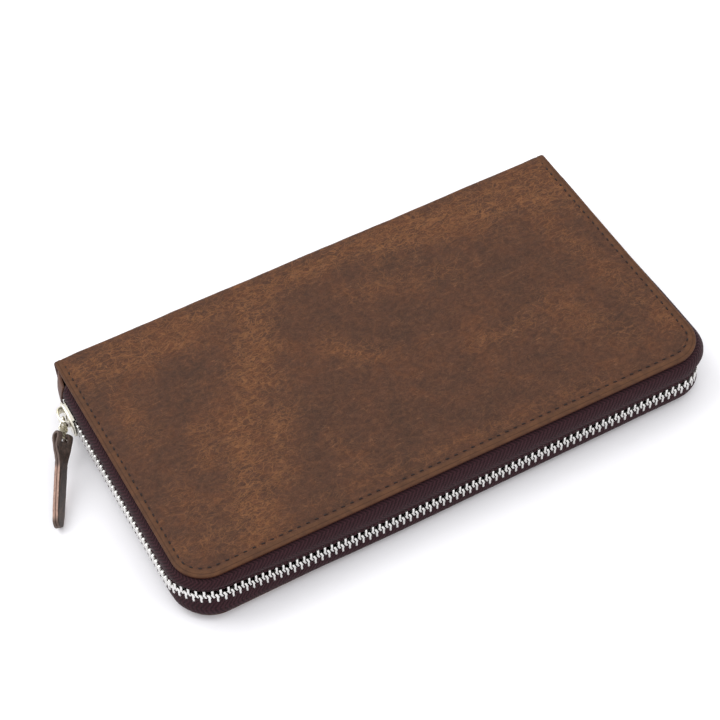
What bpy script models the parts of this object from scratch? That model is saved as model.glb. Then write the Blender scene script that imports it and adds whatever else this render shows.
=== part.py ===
"""Zip-around long wallet (zippered pouch), closed, lying on its back cover.

Frame: +X along the spine, +Y from the zipped front edge to the spine, +Z up.
The origin is the middle of the underside. Units are metres; dimensions below
are written in millimetres times MM.

The pouch is two flat halves joined by a folding spine. The back half stays on
the table, the spine turns about its lower long edge, and the front half turns
about the upper long edge of the spine. A two-part metal zip runs round the
left end, the front and the right end. A coin pocket stands on the spine
between the halves. The slider carries a metal link and a folded leather strap.
"""

import math

import bmesh
import bpy
from mathutils import Matrix, Vector

MM = 0.001

# ---- overall size -------------------------------------------------------
LENGTH = 195.0 * MM        # leather cover along the spine
DEPTH = 110.5 * MM         # leather cover from front edge to spine
THICK = 21.0 * MM          # closed thickness over both covers
CORNER_R = 12.0 * MM       # rounded front corners of the covers
GAP = 0.3 * MM             # clearance between neighbouring pieces

XH = LENGTH / 2
YF = -DEPTH / 2
YB = DEPTH / 2
ZM = THICK / 2

# ---- covers -------------------------------------------------------------
LEATHER_T = 1.3 * MM
BOARD_T = 0.7 * MM
LINING_T = 0.4 * MM
SEAM_IN = 6.0 * MM         # boards stay this far inside the leather edge
LINING_IN = 4.0 * MM
SPINE_IN = LEATHER_T + GAP
ARC_STEPS = 8

# ---- zip ----------------------------------------------------------------
TAPE_T = 0.5 * MM
TAPE_FLANGE = 5.0 * MM     # width of tape sewn under the leather
TAPE_OUT = 1.7 * MM        # middle of the tape wall, outside the leather edge
TOOTH_PITCH = 2.5 * MM
TOOTH_W = 1.2 * MM
TOOTH_IN = 0.6 * MM        # offsets of the tooth row from the leather edge
TOOTH_RAIL = 2.4 * MM
TOOTH_OUT = 3.0 * MM
ROW_GAP = 1.0 * MM         # free slit between the two rows
ROW_H = 2.3 * MM
ZIP_END_Y = 45.1 * MM      # the zip stops here, short of the spine
TOOTH_END_Y = 43.3 * MM

# ---- slider and pull ----------------------------------------------------
SLIDER_Y0 = 31.0 * MM
SLIDER_Y1 = 42.9 * MM
PLATE_T = 0.8 * MM
PLATE_OUT = 3.3 * MM       # inner face of the outer plate
PLATE_IN = 0.3 * MM        # outer face of the inner plate
SLIDER_H = 8.6 * MM
CROWN_Y = 38.5 * MM
CROWN_HALF = 3.6 * MM
CROWN_RISE = 2.1 * MM
CROWN_R = 0.6 * MM
LINK_AXIS_OUT = 0.75 * MM  # link bar above the outer plate
LINK_WIRE = 0.4 * MM
LINK_HALF_W = 1.6 * MM
LINK_EYE = 5.0 * MM
CROSSBAR_AT = 7.6 * MM
CROSSBAR_HALF = 2.0 * MM
CROSSBAR_R = 0.5 * MM
PULL_YAW = math.radians(27.4)    # swing of the pull away from the front direction
PULL_DROOP = math.radians(11.2)
STRAP_ROLL = math.radians(15.0)     # twist of the strap's body, its top leaning outward
STRAP_LEN = 33.8 * MM      # crossbar to tip
STRAP_T = 2.2 * MM
STRAP_HEAD_R = 1.9 * MM
STRAP_TUNNEL_R = 1.0 * MM
STRAP_HEAD_W = 6.6 * MM
STRAP_NECK_W = 5.2 * MM
STRAP_BODY_W = 5.8 * MM
STRAP_TIP_W = 4.8 * MM

# ---- inside -------------------------------------------------------------
POCKET_XH = 90.0 * MM
STRIP_XH = 88.0 * MM
STRIP_T = 0.4 * MM
LEAF_XH = 88.0 * MM
LEAF_Y1 = 50.5 * MM
LEAF_WALL_Y = -30.0 * MM
LEAF_HALF = 1.6 * MM
LEAF_WALL_T = 0.4 * MM
COIN_Y = -36.0 * MM        # outer face of the coin zip
COIN_PITCH = 2.0 * MM
COIN_X0 = 72.0 * MM        # slider at its closed end
COIN_PULL_LEN = 12.0 * MM

for ob in list(bpy.data.objects):
    bpy.data.objects.remove(ob, do_unlink=True)

POUCH = bpy.data.collections.new("zippered_pouch")
CUTTERS = bpy.data.collections.new("cutters")
bpy.context.scene.collection.children.link(POUCH)
bpy.context.scene.collection.children.link(CUTTERS)


# ---- materials ----------------------------------------------------------
def material(name, rgb, rough, metal=0.0):
    mat = bpy.data.materials.new(name)
    mat.use_nodes = True
    bsdf = mat.node_tree.nodes["Principled BSDF"]
    bsdf.inputs["Base Color"].default_value = (*rgb, 1.0)
    bsdf.inputs["Roughness"].default_value = rough
    bsdf.inputs["Metallic"].default_value = metal
    mat.diffuse_color = (*rgb, 1.0)
    return mat


BROWN = (0.13, 0.072, 0.045)
TAPE_RGB = (0.042, 0.021, 0.022)
NICKEL = (0.72, 0.71, 0.69)


def finish(ob, rgb, rough, metal=0.0, smooth=False):
    mat = material("mat_" + ob.name, rgb, rough, metal)
    ob.data.materials.clear()
    ob.data.materials.append(mat)
    if smooth and ob.type == "MESH":
        ob.data.shade_smooth()
        ob.data.set_sharp_from_angle(angle=math.radians(35))
    return ob


# ---- modelling helpers --------------------------------------------------
def link_to(ob, collection):
    collection.objects.link(ob)
    return ob


def flat_curve(name, points, thickness, collection=POUCH):
    """A filled flat outline in XY, thickness along Z, centred on its own Z."""
    data = bpy.data.curves.new(name, "CURVE")
    data.dimensions = "2D"
    data.fill_mode = "BOTH"
    data.extrude = thickness / 2
    spline = data.splines.new("POLY")
    spline.points.add(len(points) - 1)
    for node, (x, y) in zip(spline.points, points):
        node.co = (x, y, 0.0, 1.0)
    spline.use_cyclic_u = True
    return link_to(bpy.data.objects.new(name, data), collection)


def plate(name, points, z0, z1):
    ob = flat_curve(name, points, z1 - z0)
    ob.location = (0, 0, (z0 + z1) / 2)
    return ob


def box(name, lo, hi, collection=POUCH):
    mesh = bpy.data.meshes.new(name)
    bm = bmesh.new()
    bmesh.ops.create_cube(bm, size=1.0)
    size = Vector(hi) - Vector(lo)
    bmesh.ops.scale(bm, vec=size, verts=bm.verts)
    bm.to_mesh(mesh)
    bm.free()
    ob = bpy.data.objects.new(name, mesh)
    ob.location = (Vector(lo) + Vector(hi)) / 2
    return link_to(ob, collection)


def tube(name, points, radius, cyclic=False, resolution=2, collection=POUCH):
    data = bpy.data.curves.new(name, "CURVE")
    data.dimensions = "3D"
    data.bevel_depth = radius
    data.bevel_resolution = resolution
    data.use_fill_caps = not cyclic
    spline = data.splines.new("POLY")
    spline.points.add(len(points) - 1)
    for node, co in zip(spline.points, points):
        node.co = (*co, 1.0)
    spline.use_cyclic_u = cyclic
    return link_to(bpy.data.objects.new(name, data), collection)


def as_mesh(ob):
    """A curve made into a mesh object of the same name, caps welded."""
    bpy.context.view_layer.update()
    graph = bpy.context.evaluated_depsgraph_get()
    mesh = bpy.data.meshes.new_from_object(ob.evaluated_get(graph))
    bm = bmesh.new()
    bm.from_mesh(mesh)
    bmesh.ops.remove_doubles(bm, verts=bm.verts, dist=1e-6)
    bmesh.ops.recalc_face_normals(bm, faces=bm.faces)
    bm.to_mesh(mesh)
    bm.free()
    name = ob.name
    home = ob.users_collection[0]
    world = ob.matrix_world.copy()
    bpy.data.objects.remove(ob, do_unlink=True)
    made = bpy.data.objects.new(name, mesh)
    made.matrix_world = world
    return link_to(made, home)


def cutter(ob):
    ob.hide_render = True
    ob.display_type = "WIRE"
    return ob


def boolean(ob, other, operation):
    mod = ob.modifiers.new(operation.lower() + "_" + other.name, "BOOLEAN")
    mod.operation = operation
    mod.solver = "EXACT"
    mod.object = cutter(other)
    return mod


def cover_outline(inset, y_back):
    """Straight at the spine, rounded at the two front corners."""
    xh = XH - inset
    yf = YF + inset
    r = max(CORNER_R - inset, 3.0 * MM)
    pts = [(-xh, y_back)]
    for i in range(ARC_STEPS + 1):
        a = math.pi + (math.pi / 2) * i / ARC_STEPS
        pts.append((-xh + r + r * math.cos(a), yf + r + r * math.sin(a)))
    for i in range(ARC_STEPS + 1):
        a = 1.5 * math.pi + (math.pi / 2) * i / ARC_STEPS
        pts.append((xh - r + r * math.cos(a), yf + r + r * math.sin(a)))
    pts.append((xh, y_back))
    return pts


def rectangle(xh, y0, y1, r=0.0):
    if r == 0.0:
        return [(-xh, y1), (-xh, y0), (xh, y0), (xh, y1)]
    pts = [(-xh, y1)]
    for cx, cy, a0 in ((-xh + r, y0 + r, math.pi), (xh - r, y0 + r, 1.5 * math.pi)):
        for i in range(5):
            a = a0 + (math.pi / 2) * i / 4
            pts.append((cx + r * math.cos(a), cy + r * math.sin(a)))
    pts.append((xh, y1))
    return pts


def u_station(s, mid, y_end):
    """Point and outward normal on the leather edge for a length s measured
    along the line that runs outside it by mid, from the left end by the spine
    round the front to the right end."""
    straight = y_end - (YF + CORNER_R)
    arc = (CORNER_R + mid) * math.pi / 2
    front = 2 * (XH - CORNER_R)
    if s <= straight:
        return (-XH, y_end - s), (-1.0, 0.0)
    s -= straight
    if s <= arc:
        a = math.pi + s / (CORNER_R + mid)
        n = (math.cos(a), math.sin(a))
        return (-XH + CORNER_R + CORNER_R * n[0], YF + CORNER_R + CORNER_R * n[1]), n
    s -= arc
    if s <= front:
        return (-XH + CORNER_R + s, YF), (0.0, -1.0)
    s -= front
    if s <= arc:
        a = 1.5 * math.pi + s / (CORNER_R + mid)
        n = (math.cos(a), math.sin(a))
        return (XH - CORNER_R + CORNER_R * n[0], YF + CORNER_R + CORNER_R * n[1]), n
    s -= arc
    return (XH, YF + CORNER_R + s), (1.0, 0.0)


def u_length(mid, y_end):
    return (2 * (y_end - (YF + CORNER_R)) + (CORNER_R + mid) * math.pi
            + 2 * (XH - CORNER_R))


def offset_point(station, off):
    (x, y), (nx, ny) = station
    return (x + nx * off, y + ny * off)


def tooth_row(name, z0, z1, phase):
    """One zip row: a rail with teeth standing out from it, in plan."""
    mid = TAPE_OUT
    total = u_length(mid, TOOTH_END_Y)
    count = int((total - TOOTH_W) / TOOTH_PITCH)
    start = (total - (count - 1) * TOOTH_PITCH) / 2 + phase * TOOTH_PITCH
    outer = [offset_point(u_station(0.0, mid, TOOTH_END_Y), TOOTH_RAIL)]
    for k in range(count):
        s = start + k * TOOTH_PITCH
        a, b = s - TOOTH_W / 2, s + TOOTH_W / 2
        if a < 0.2 * MM or b > total - 0.2 * MM:
            continue
        sa, sb = u_station(a, mid, TOOTH_END_Y), u_station(b, mid, TOOTH_END_Y)
        outer += [offset_point(sa, TOOTH_RAIL), offset_point(sa, TOOTH_OUT),
                  offset_point(sb, TOOTH_OUT), offset_point(sb, TOOTH_RAIL)]
    outer.append(offset_point(u_station(total, mid, TOOTH_END_Y), TOOTH_RAIL))
    arc = (CORNER_R + mid) * math.pi / 2
    straight = TOOTH_END_Y - (YF + CORNER_R)
    front = 2 * (XH - CORNER_R)
    inner = [offset_point(u_station(0.0, mid, TOOTH_END_Y), TOOTH_IN)]
    for i in range(ARC_STEPS + 1):
        inner.append(offset_point(u_station(straight + arc * i / ARC_STEPS, mid, TOOTH_END_Y), TOOTH_IN))
    for i in range(ARC_STEPS + 1):
        inner.append(offset_point(u_station(straight + arc + front + arc * i / ARC_STEPS, mid, TOOTH_END_Y), TOOTH_IN))
    inner.append(offset_point(u_station(total, mid, TOOTH_END_Y), TOOTH_IN))
    return plate(name, outer + inner[::-1], z0, z1)


def tape_profile():
    """Half-thickness sweep of the tape's middle line, (outward, height above
    the middle of the pouch), from the sewn flange to the edge at the teeth."""
    top = THICK - LEATHER_T - GAP - TAPE_T / 2 - ZM
    row_top = ROW_GAP / 2 + ROW_H + GAP
    line = [(-TAPE_FLANGE, top), (0.0, top)]
    bend = 1.7 * MM
    for i in range(1, 5):
        a = math.pi / 2 * i / 4
        line.append((bend * math.sin(a) * TAPE_OUT / bend, top - bend * (1 - math.cos(a))))
    line.append((TAPE_OUT, row_top))
    left, right = [], []
    for i, p in enumerate(line):
        q0 = line[max(i - 1, 0)]
        q1 = line[min(i + 1, len(line) - 1)]
        t = Vector((q1[0] - q0[0], q1[1] - q0[1])).normalized()
        n = Vector((-t.y, t.x)) * TAPE_T / 2
        left.append((p[0] + n.x, p[1] + n.y))
        right.append((p[0] - n.x, p[1] - n.y))
    return left + right[::-1]


def tape(name, upper):
    """The zip tape: its profile swept along the leather edge."""
    prof = bpy.data.curves.new(name + "_profile", "CURVE")
    prof.dimensions = "2D"
    spline = prof.splines.new("POLY")
    pts = tape_profile()
    spline.points.add(len(pts) - 1)
    for node, (o, z) in zip(spline.points, pts):
        node.co = (o, z if upper else -z, 0.0, 1.0)
    spline.use_cyclic_u = True
    profile = link_to(bpy.data.objects.new(name + "_profile", prof), CUTTERS)
    cutter(profile)

    straight = ZIP_END_Y - (YF + CORNER_R)
    arc = (CORNER_R + TAPE_OUT) * math.pi / 2
    front = 2 * (XH - CORNER_R)
    stops = [0.0] + [straight + arc * i / ARC_STEPS for i in range(ARC_STEPS + 1)]
    stops += [straight + arc + front + arc * i / ARC_STEPS for i in range(ARC_STEPS + 1)]
    stops.append(u_length(TAPE_OUT, ZIP_END_Y))
    data = bpy.data.curves.new(name, "CURVE")
    data.dimensions = "2D"
    data.bevel_mode = "OBJECT"
    data.bevel_object = profile
    data.use_fill_caps = True
    path = data.splines.new("POLY")
    path.points.add(len(stops) - 1)
    for node, s in zip(path.points, stops):
        (x, y), _ = u_station(s, TAPE_OUT, ZIP_END_Y)
        node.co = (x, y, 0.0, 1.0)
    ob = link_to(bpy.data.objects.new(name, data), POUCH)
    ob.location = (0, 0, ZM)
    ob = as_mesh(ob)
    bpy.data.objects.remove(profile, do_unlink=True)
    return ob


# ---- halves: cover, board, lining, pocket panel, card strips -----------
def half(tag, low, rgb_leather):
    """The flat stack of one half. low is True for the half on the table."""
    def z(a, b):
        return (a, b) if low else (THICK - b, THICK - a)

    y_back = YB - SPINE_IN
    z0, z1 = z(0.0, LEATHER_T)
    cover = plate(tag + "_cover_leather", cover_outline(0.0, y_back), z0, z1)
    finish(cover, rgb_leather, 0.55)

    a = LEATHER_T + GAP
    z0, z1 = z(a, a + BOARD_T)
    board = plate(tag + "_stiffener_board", cover_outline(SEAM_IN, YB - 5.0 * MM), z0, z1)
    finish(board, (0.35, 0.28, 0.2), 0.9)

    a += BOARD_T + GAP
    z0, z1 = z(a, a + LINING_T)
    lining = plate(tag + "_lining", cover_outline(LINING_IN, YB - 4.5 * MM), z0, z1)
    finish(lining, (0.06, 0.035, 0.03), 0.8)

    a += LINING_T + 0.5 * MM
    z0, z1 = z(a, a + STRIP_T)
    panel = plate(tag + "_bill_pocket_panel", rectangle(POCKET_XH, -46 * MM, 48 * MM, 4 * MM), z0, z1)
    finish(panel, (0.11, 0.062, 0.04), 0.6)

    strips = []
    for k, y0 in enumerate((-36 * MM, -22 * MM, -8 * MM)):
        a += STRIP_T + 0.6 * MM
        z0, z1 = z(a, a + STRIP_T)
        strip = plate("%s_card_strip_%d" % (tag, k + 1), rectangle(STRIP_XH, y0, 46 * MM, 2 * MM), z0, z1)
        finish(strip, (0.12, 0.067, 0.042), 0.6)
        strips.append(strip)
    return [cover, board, lining, panel] + strips


back_parts = half("back", True, BROWN)
front_parts = half("front", False, BROWN)

# ---- main zip -----------------------------------------------------------
lower_tape = finish(tape("lower_zip_tape", False), TAPE_RGB, 0.85, smooth=True)
upper_tape = finish(tape("upper_zip_tape", True), TAPE_RGB, 0.85, smooth=True)

lower_row = finish(tooth_row("lower_zip_teeth", ZM - ROW_GAP / 2 - ROW_H, ZM - ROW_GAP / 2, -0.25), NICKEL, 0.25, 1.0)
upper_row = finish(tooth_row("upper_zip_teeth", ZM + ROW_GAP / 2, ZM + ROW_GAP / 2 + ROW_H, 0.25), NICKEL, 0.25, 1.0)

STOP_Y0 = TOOTH_END_Y + GAP
STOP_Y1 = STOP_Y0 + 1.5 * MM


def end_stop(name, side, z0, z1):
    x0 = side * (XH + TOOTH_IN)
    x1 = side * (XH + TOOTH_RAIL)
    return finish(box(name, (min(x0, x1), STOP_Y0, z0), (max(x0, x1), STOP_Y1, z1)), NICKEL, 0.3, 1.0)


LOW_ROW = (ZM - ROW_GAP / 2 - ROW_H, ZM - ROW_GAP / 2)
TOP_ROW = (ZM + ROW_GAP / 2, ZM + ROW_GAP / 2 + ROW_H)
lower_stops = [end_stop("lower_top_stop", -1, *LOW_ROW), end_stop("lower_bottom_stop", 1, *LOW_ROW)]
upper_stops = [end_stop("upper_top_stop", -1, *TOP_ROW), end_stop("upper_bottom_stop", 1, *TOP_ROW)]

# ---- spine --------------------------------------------------------------
spine_leather = finish(box("spine_leather", (-XH, YB - LEATHER_T, 0.0), (XH, YB, THICK)), BROWN, 0.55)
spine_board = finish(box("spine_board", (-XH + SEAM_IN, YB - 2.4 * MM, 2.0 * MM),
                         (XH - SEAM_IN, YB - LEATHER_T - GAP, THICK - 2.0 * MM)), (0.35, 0.28, 0.2), 0.9)
spine_lining = finish(box("spine_lining", (-XH + LINING_IN, YB - 3.2 * MM, 3.6 * MM),
                          (XH - LINING_IN, YB - 2.7 * MM, THICK - 3.6 * MM)), (0.06, 0.035, 0.03), 0.8)


def end_tab(name, side):
    """Leather tab that closes the pouch's end beside the spine."""
    x0 = side * (XH - 1.5 * MM)
    x1 = side * (XH - 0.3 * MM)
    return finish(box(name, (min(x0, x1), ZIP_END_Y + 0.4 * MM, LEATHER_T + 0.4 * MM),
                      (max(x0, x1), YB - SPINE_IN, THICK - LEATHER_T - 0.4 * MM)), (0.12, 0.05, 0.035), 0.6)


tabs = [end_tab("end_tab_left", -1), end_tab("end_tab_right", 1)]

# ---- coin pocket on the spine ------------------------------------------
leaf_lower = finish(plate("coin_pocket_wall_lower", rectangle(LEAF_XH, LEAF_WALL_Y, LEAF_Y1),
                          ZM - LEAF_HALF, ZM - LEAF_HALF + LEAF_WALL_T), (0.11, 0.062, 0.04), 0.6)
leaf_upper = finish(plate("coin_pocket_wall_upper", rectangle(LEAF_XH, LEAF_WALL_Y, LEAF_Y1),
                          ZM + LEAF_HALF - LEAF_WALL_T, ZM + LEAF_HALF), (0.11, 0.062, 0.04), 0.6)


def binding():
    """Strip that closes the pocket between its walls at the spine and both ends."""
    w = 1.2 * MM
    outline = [(-LEAF_XH, LEAF_Y1), (-LEAF_XH, LEAF_WALL_Y), (-LEAF_XH + w, LEAF_WALL_Y),
               (-LEAF_XH + w, LEAF_Y1 - w), (LEAF_XH - w, LEAF_Y1 - w), (LEAF_XH - w, LEAF_WALL_Y),
               (LEAF_XH, LEAF_WALL_Y), (LEAF_XH, LEAF_Y1)]
    inner = LEAF_HALF - LEAF_WALL_T - GAP
    return plate("coin_pocket_binding", outline, ZM - inner, ZM + inner)


leaf_binding = finish(binding(), TAPE_RGB, 0.8)

COIN_ROW_BACK = COIN_Y + 1.7 * MM


def coin_tape(name, side):
    z = sorted((ZM + side * 0.5 * MM, ZM + side * 0.9 * MM))
    return finish(box(name, (-LEAF_XH + 2.0 * MM, COIN_ROW_BACK + GAP, z[0]),
                      (LEAF_XH - 2.0 * MM, LEAF_WALL_Y + 3.0 * MM, z[1])), TAPE_RGB, 0.85)


coin_tapes = [coin_tape("coin_zip_tape_lower", -1), coin_tape("coin_zip_tape_upper", 1)]


def coin_row(name, side, phase):
    xh = LEAF_XH - 2.0 * MM
    rail = COIN_Y + 0.6 * MM
    count = int((2 * xh - 1.0 * MM) / COIN_PITCH)
    start = -(count - 1) * COIN_PITCH / 2 + phase * COIN_PITCH
    pts = [(-xh, COIN_ROW_BACK), (-xh, rail)]
    for k in range(count):
        c = start + k * COIN_PITCH
        if c - 0.6 * MM < -xh or c + 0.6 * MM > xh:
            continue
        pts += [(c - 0.5 * MM, rail), (c - 0.5 * MM, COIN_Y), (c + 0.5 * MM, COIN_Y), (c + 0.5 * MM, rail)]
    pts += [(xh, rail), (xh, COIN_ROW_BACK)]
    z = sorted((ZM + side * 0.3 * MM, ZM + side * 1.5 * MM))
    return finish(plate(name, pts, z[0], z[1]), NICKEL, 0.3, 1.0)


coin_rows = [coin_row("coin_zip_teeth_lower", -1, -0.25), coin_row("coin_zip_teeth_upper", 1, 0.25)]


# ---- slider -------------------------------------------------------------
def slider_outline():
    """Shield shape in local XY: X is along the zip, Y across it."""
    y0, y1 = SLIDER_Y0, SLIDER_Y1
    h = SLIDER_H / 2
    n = h * 0.78
    return [(y1, -h * 0.72), (y1, h * 0.72), (y1 - 2.0 * MM, h), (y0 + 4.0 * MM, h * 0.9),
            (y0 + 0.8 * MM, n), (y0, n * 0.8), (y0, -n * 0.8), (y0 + 0.8 * MM, -n),
            (y0 + 4.0 * MM, -h * 0.9), (y1 - 2.0 * MM, -h)]


TO_SIDE = Matrix(((0, 0, 1, 0), (1, 0, 0, 0), (0, 1, 0, 0), (0, 0, 0, 1)))


def slider_plate(name, off, collection):
    """A shield plate whose thickness runs along X, its middle off outside the edge."""
    ob = flat_curve(name, slider_outline(), PLATE_T, collection)
    ob.matrix_world = Matrix.Translation((-XH - off, 0, ZM)) @ TO_SIDE
    return as_mesh(ob)


slider = slider_plate("zip_slider_body", PLATE_OUT + PLATE_T / 2, POUCH)
inner_plate = slider_plate("slider_inner_plate", PLATE_IN - PLATE_T / 2, CUTTERS)
post = box("slider_post", (-XH - PLATE_OUT - 0.4 * MM, SLIDER_Y1 - 2.4 * MM, ZM - 0.2 * MM),
           (-XH - PLATE_IN + 0.4 * MM, SLIDER_Y1 - 0.6 * MM, ZM + 0.2 * MM), CUTTERS)
CROWN_BASE = PLATE_OUT + PLATE_T
arch = []
for i in range(13):
    a = math.pi * i / 12
    out = CROWN_BASE - 0.3 * MM + (CROWN_RISE + 0.3 * MM) * math.sin(a) ** 0.7
    arch.append((-XH - out, CROWN_Y + CROWN_HALF * math.cos(a), ZM))
crown = as_mesh(tube("slider_crown", arch, CROWN_R, resolution=2, collection=CUTTERS))
boolean(slider, inner_plate, "UNION")
boolean(slider, post, "UNION")
boolean(slider, crown, "UNION")
finish(slider, NICKEL, 0.22, 1.0)

# ---- pull: link and strap ----------------------------------------------
LINK_AXIS = Vector((-XH - CROWN_BASE - LINK_AXIS_OUT, CROWN_Y, ZM))


def pull_frame(roll):
    """Rotation whose X is along the pull, Y its thickness and Z its width."""
    d = Vector((-math.sin(PULL_YAW) * math.cos(PULL_DROOP),
                -math.cos(PULL_YAW) * math.cos(PULL_DROOP), -math.sin(PULL_DROOP)))
    side = Vector((0, 0, 1)).cross(d).normalized()
    up = d.cross(side).normalized()
    spin = Matrix.Rotation(roll, 3, d)
    side, up = spin @ side, spin @ up
    return Matrix((d, side, up)).transposed().to_4x4(), d, side, up


link_frame, PULL_DIR, _, PULL_UP = pull_frame(0.0)
strap_frame, _, _, _ = pull_frame(STRAP_ROLL)
STRAP_AXIS = LINK_AXIS + PULL_DIR * CROSSBAR_AT


def link_eye():
    pts = []
    r = 1.0 * MM
    w, e = LINK_HALF_W, LINK_EYE
    for cx, cz, a0 in ((r, w - r, 90), (r, -w + r, 180), (e - r, -w + r, 270), (e - r, w - r, 0)):
        for i in range(4):
            a = math.radians(a0 + 90 * i / 3)
            pts.append((cx + r * math.cos(a), 0.0, cz + r * math.sin(a)))
    return pts


link = tube("pull_link", link_eye(), LINK_WIRE, cyclic=True, resolution=2)
link.matrix_world = Matrix.Translation(LINK_AXIS) @ link_frame
link = as_mesh(link)
shank = box("link_shank", (LINK_EYE - 0.2 * MM, -0.35 * MM, -0.9 * MM),
            (CROSSBAR_AT + 0.1 * MM, 0.35 * MM, 0.9 * MM), CUTTERS)
shank.matrix_world = Matrix.Translation(LINK_AXIS) @ link_frame @ shank.matrix_basis
bar = tube("link_crossbar", [(CROSSBAR_AT, 0, -CROSSBAR_HALF), (CROSSBAR_AT, 0, CROSSBAR_HALF)],
           CROSSBAR_R, resolution=2, collection=CUTTERS)
bar.matrix_world = Matrix.Translation(LINK_AXIS) @ link_frame
bar = as_mesh(bar)
boolean(link, shank, "UNION")
boolean(link, bar, "UNION")
finish(link, NICKEL, 0.2, 1.0)


def strap_half_width(t):
    """Half width of the strap at t, from 0 at the crossbar to 1 at the tip."""
    keys = ((0.0, STRAP_HEAD_W), (0.12, STRAP_HEAD_W), (0.26, STRAP_NECK_W), (0.45, STRAP_BODY_W),
            (0.85, STRAP_BODY_W * 0.95), (1.0, STRAP_TIP_W))
    for (t0, w0), (t1, w1) in zip(keys, keys[1:]):
        if t <= t1:
            u = (t - t0) / (t1 - t0)
            u = u * u * (3 - 2 * u)
            return (w0 + (w1 - w0) * u) / 2
    return STRAP_TIP_W / 2


def strap_outline():
    tip_r = STRAP_TIP_W / 2
    body = STRAP_LEN - tip_r
    low, high = [], []
    for i in range(11):
        x = body * i / 10
        w = strap_half_width(x / body)
        low.append((x, -w))
        high.append((x, w))
    tip = []
    for i in range(1, 6):
        a = -math.pi / 2 + math.pi * i / 6
        tip.append((body + tip_r * math.cos(a), tip_r * math.sin(a)))
    return low + tip + high[::-1]


UPRIGHT = Matrix(((1, 0, 0, 0), (0, 0, -1, 0), (0, 1, 0, 0), (0, 0, 0, 1)))
STRAP_PLACE = Matrix.Translation(STRAP_AXIS) @ strap_frame
HEAD_PLACE = Matrix.Translation(STRAP_AXIS) @ link_frame
strap = flat_curve("pull_strap", strap_outline(), STRAP_T)
strap.matrix_world = STRAP_PLACE @ UPRIGHT
strap = as_mesh(strap)


def along_width(name, radius, half_w, collection, sides=16):
    mesh = bpy.data.meshes.new(name)
    bm = bmesh.new()
    bmesh.ops.create_cone(bm, cap_ends=True, segments=sides, radius1=radius, radius2=radius, depth=2 * half_w)
    bm.to_mesh(mesh)
    bm.free()
    ob = bpy.data.objects.new(name, mesh)
    ob.matrix_world = HEAD_PLACE
    return link_to(ob, collection)


head = along_width("strap_head_fold", STRAP_HEAD_R, STRAP_HEAD_W / 2, CUTTERS)
tunnel = along_width("strap_tunnel", STRAP_TUNNEL_R, STRAP_HEAD_W, CUTTERS)
slot = box("strap_slot", (-4.0 * MM, -3.0 * MM, -1.5 * MM), (0.2 * MM, 3.0 * MM, 1.5 * MM), CUTTERS)
slot.matrix_world = HEAD_PLACE @ slot.matrix_basis
boolean(strap, head, "UNION")
boolean(strap, tunnel, "DIFFERENCE")
boolean(strap, slot, "DIFFERENCE")
finish(strap, (0.12, 0.08, 0.06), 0.6)

# ---- coin slider and its pull ------------------------------------------
coin_slider = box("coin_slider_body", (COIN_X0 - 4.0 * MM, COIN_Y - 1.1 * MM, ZM - 2.9 * MM),
                  (COIN_X0 + 4.0 * MM, COIN_Y - 0.3 * MM, ZM + 2.9 * MM))
for tag, side in (("low", -1), ("high", 1)):
    z = sorted((ZM + side * 1.9 * MM, ZM + side * 2.9 * MM))
    lip = box("coin_slider_lip_" + tag, (COIN_X0 - 4.0 * MM, COIN_Y - 0.5 * MM, z[0]),
              (COIN_X0 + 4.0 * MM, COIN_Y + 1.6 * MM, z[1]), CUTTERS)
    boolean(coin_slider, lip, "UNION")
arch = []
for i in range(9):
    a = math.pi * i / 8
    arch.append((COIN_X0 + 2.6 * MM * math.cos(a), COIN_Y - 0.9 * MM - 1.7 * MM * math.sin(a) ** 0.7, ZM))
coin_crown = as_mesh(tube("coin_slider_crown", arch, 0.4 * MM, resolution=1, collection=CUTTERS))
boolean(coin_slider, coin_crown, "UNION")
finish(coin_slider, NICKEL, 0.25, 1.0)

COIN_AXIS = Vector((COIN_X0, COIN_Y - 1.65 * MM, ZM))
COIN_LEAN = math.radians(12.0)


def coin_pull_eye():
    pts = []
    r, w, e = 0.6 * MM, 1.2 * MM, 3.8 * MM
    for cx, cz, a0 in ((r, w - r, 90), (r, -w + r, 180), (e - r, -w + r, 270), (e - r, w - r, 0)):
        for i in range(3):
            a = math.radians(a0 + 45 * i)
            pts.append((cx + r * math.cos(a), 0.0, cz + r * math.sin(a)))
    return pts


COIN_PLACE = Matrix.Translation(COIN_AXIS) @ Matrix.Rotation(math.pi + COIN_LEAN, 4, "Z")
coin_pull = tube("coin_pull", coin_pull_eye(), 0.3 * MM, cyclic=True, resolution=1)
coin_pull.matrix_world = COIN_PLACE
coin_pull = as_mesh(coin_pull)
tab = flat_curve("coin_pull_tab", [(3.7 * MM, -1.0 * MM), (5.0 * MM, -1.7 * MM), (COIN_PULL_LEN - 1.0 * MM, -1.7 * MM),
                                  (COIN_PULL_LEN, -0.8 * MM), (COIN_PULL_LEN, 0.8 * MM),
                                  (COIN_PULL_LEN - 1.0 * MM, 1.7 * MM), (5.0 * MM, 1.7 * MM), (3.7 * MM, 1.0 * MM)],
                 0.5 * MM, CUTTERS)
tab.matrix_world = COIN_PLACE @ UPRIGHT
tab = as_mesh(tab)
boolean(coin_pull, tab, "UNION")
finish(coin_pull, NICKEL, 0.25, 1.0)


# ---- joint axes ---------------------------------------------------------
def pivot(name, place, parent=None):
    ob = bpy.data.objects.new(name, None)
    ob.empty_display_size = 0.01
    ob.location = place
    link_to(ob, POUCH)
    if parent:
        bpy.context.view_layer.update()
        ob.parent = parent
        ob.matrix_parent_inverse = parent.matrix_world.inverted()
    return ob


def ride(parts, empty):
    bpy.context.view_layer.update()
    inv = empty.matrix_world.inverted()
    for ob in parts:
        ob.parent = empty
        ob.matrix_parent_inverse = inv


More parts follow.
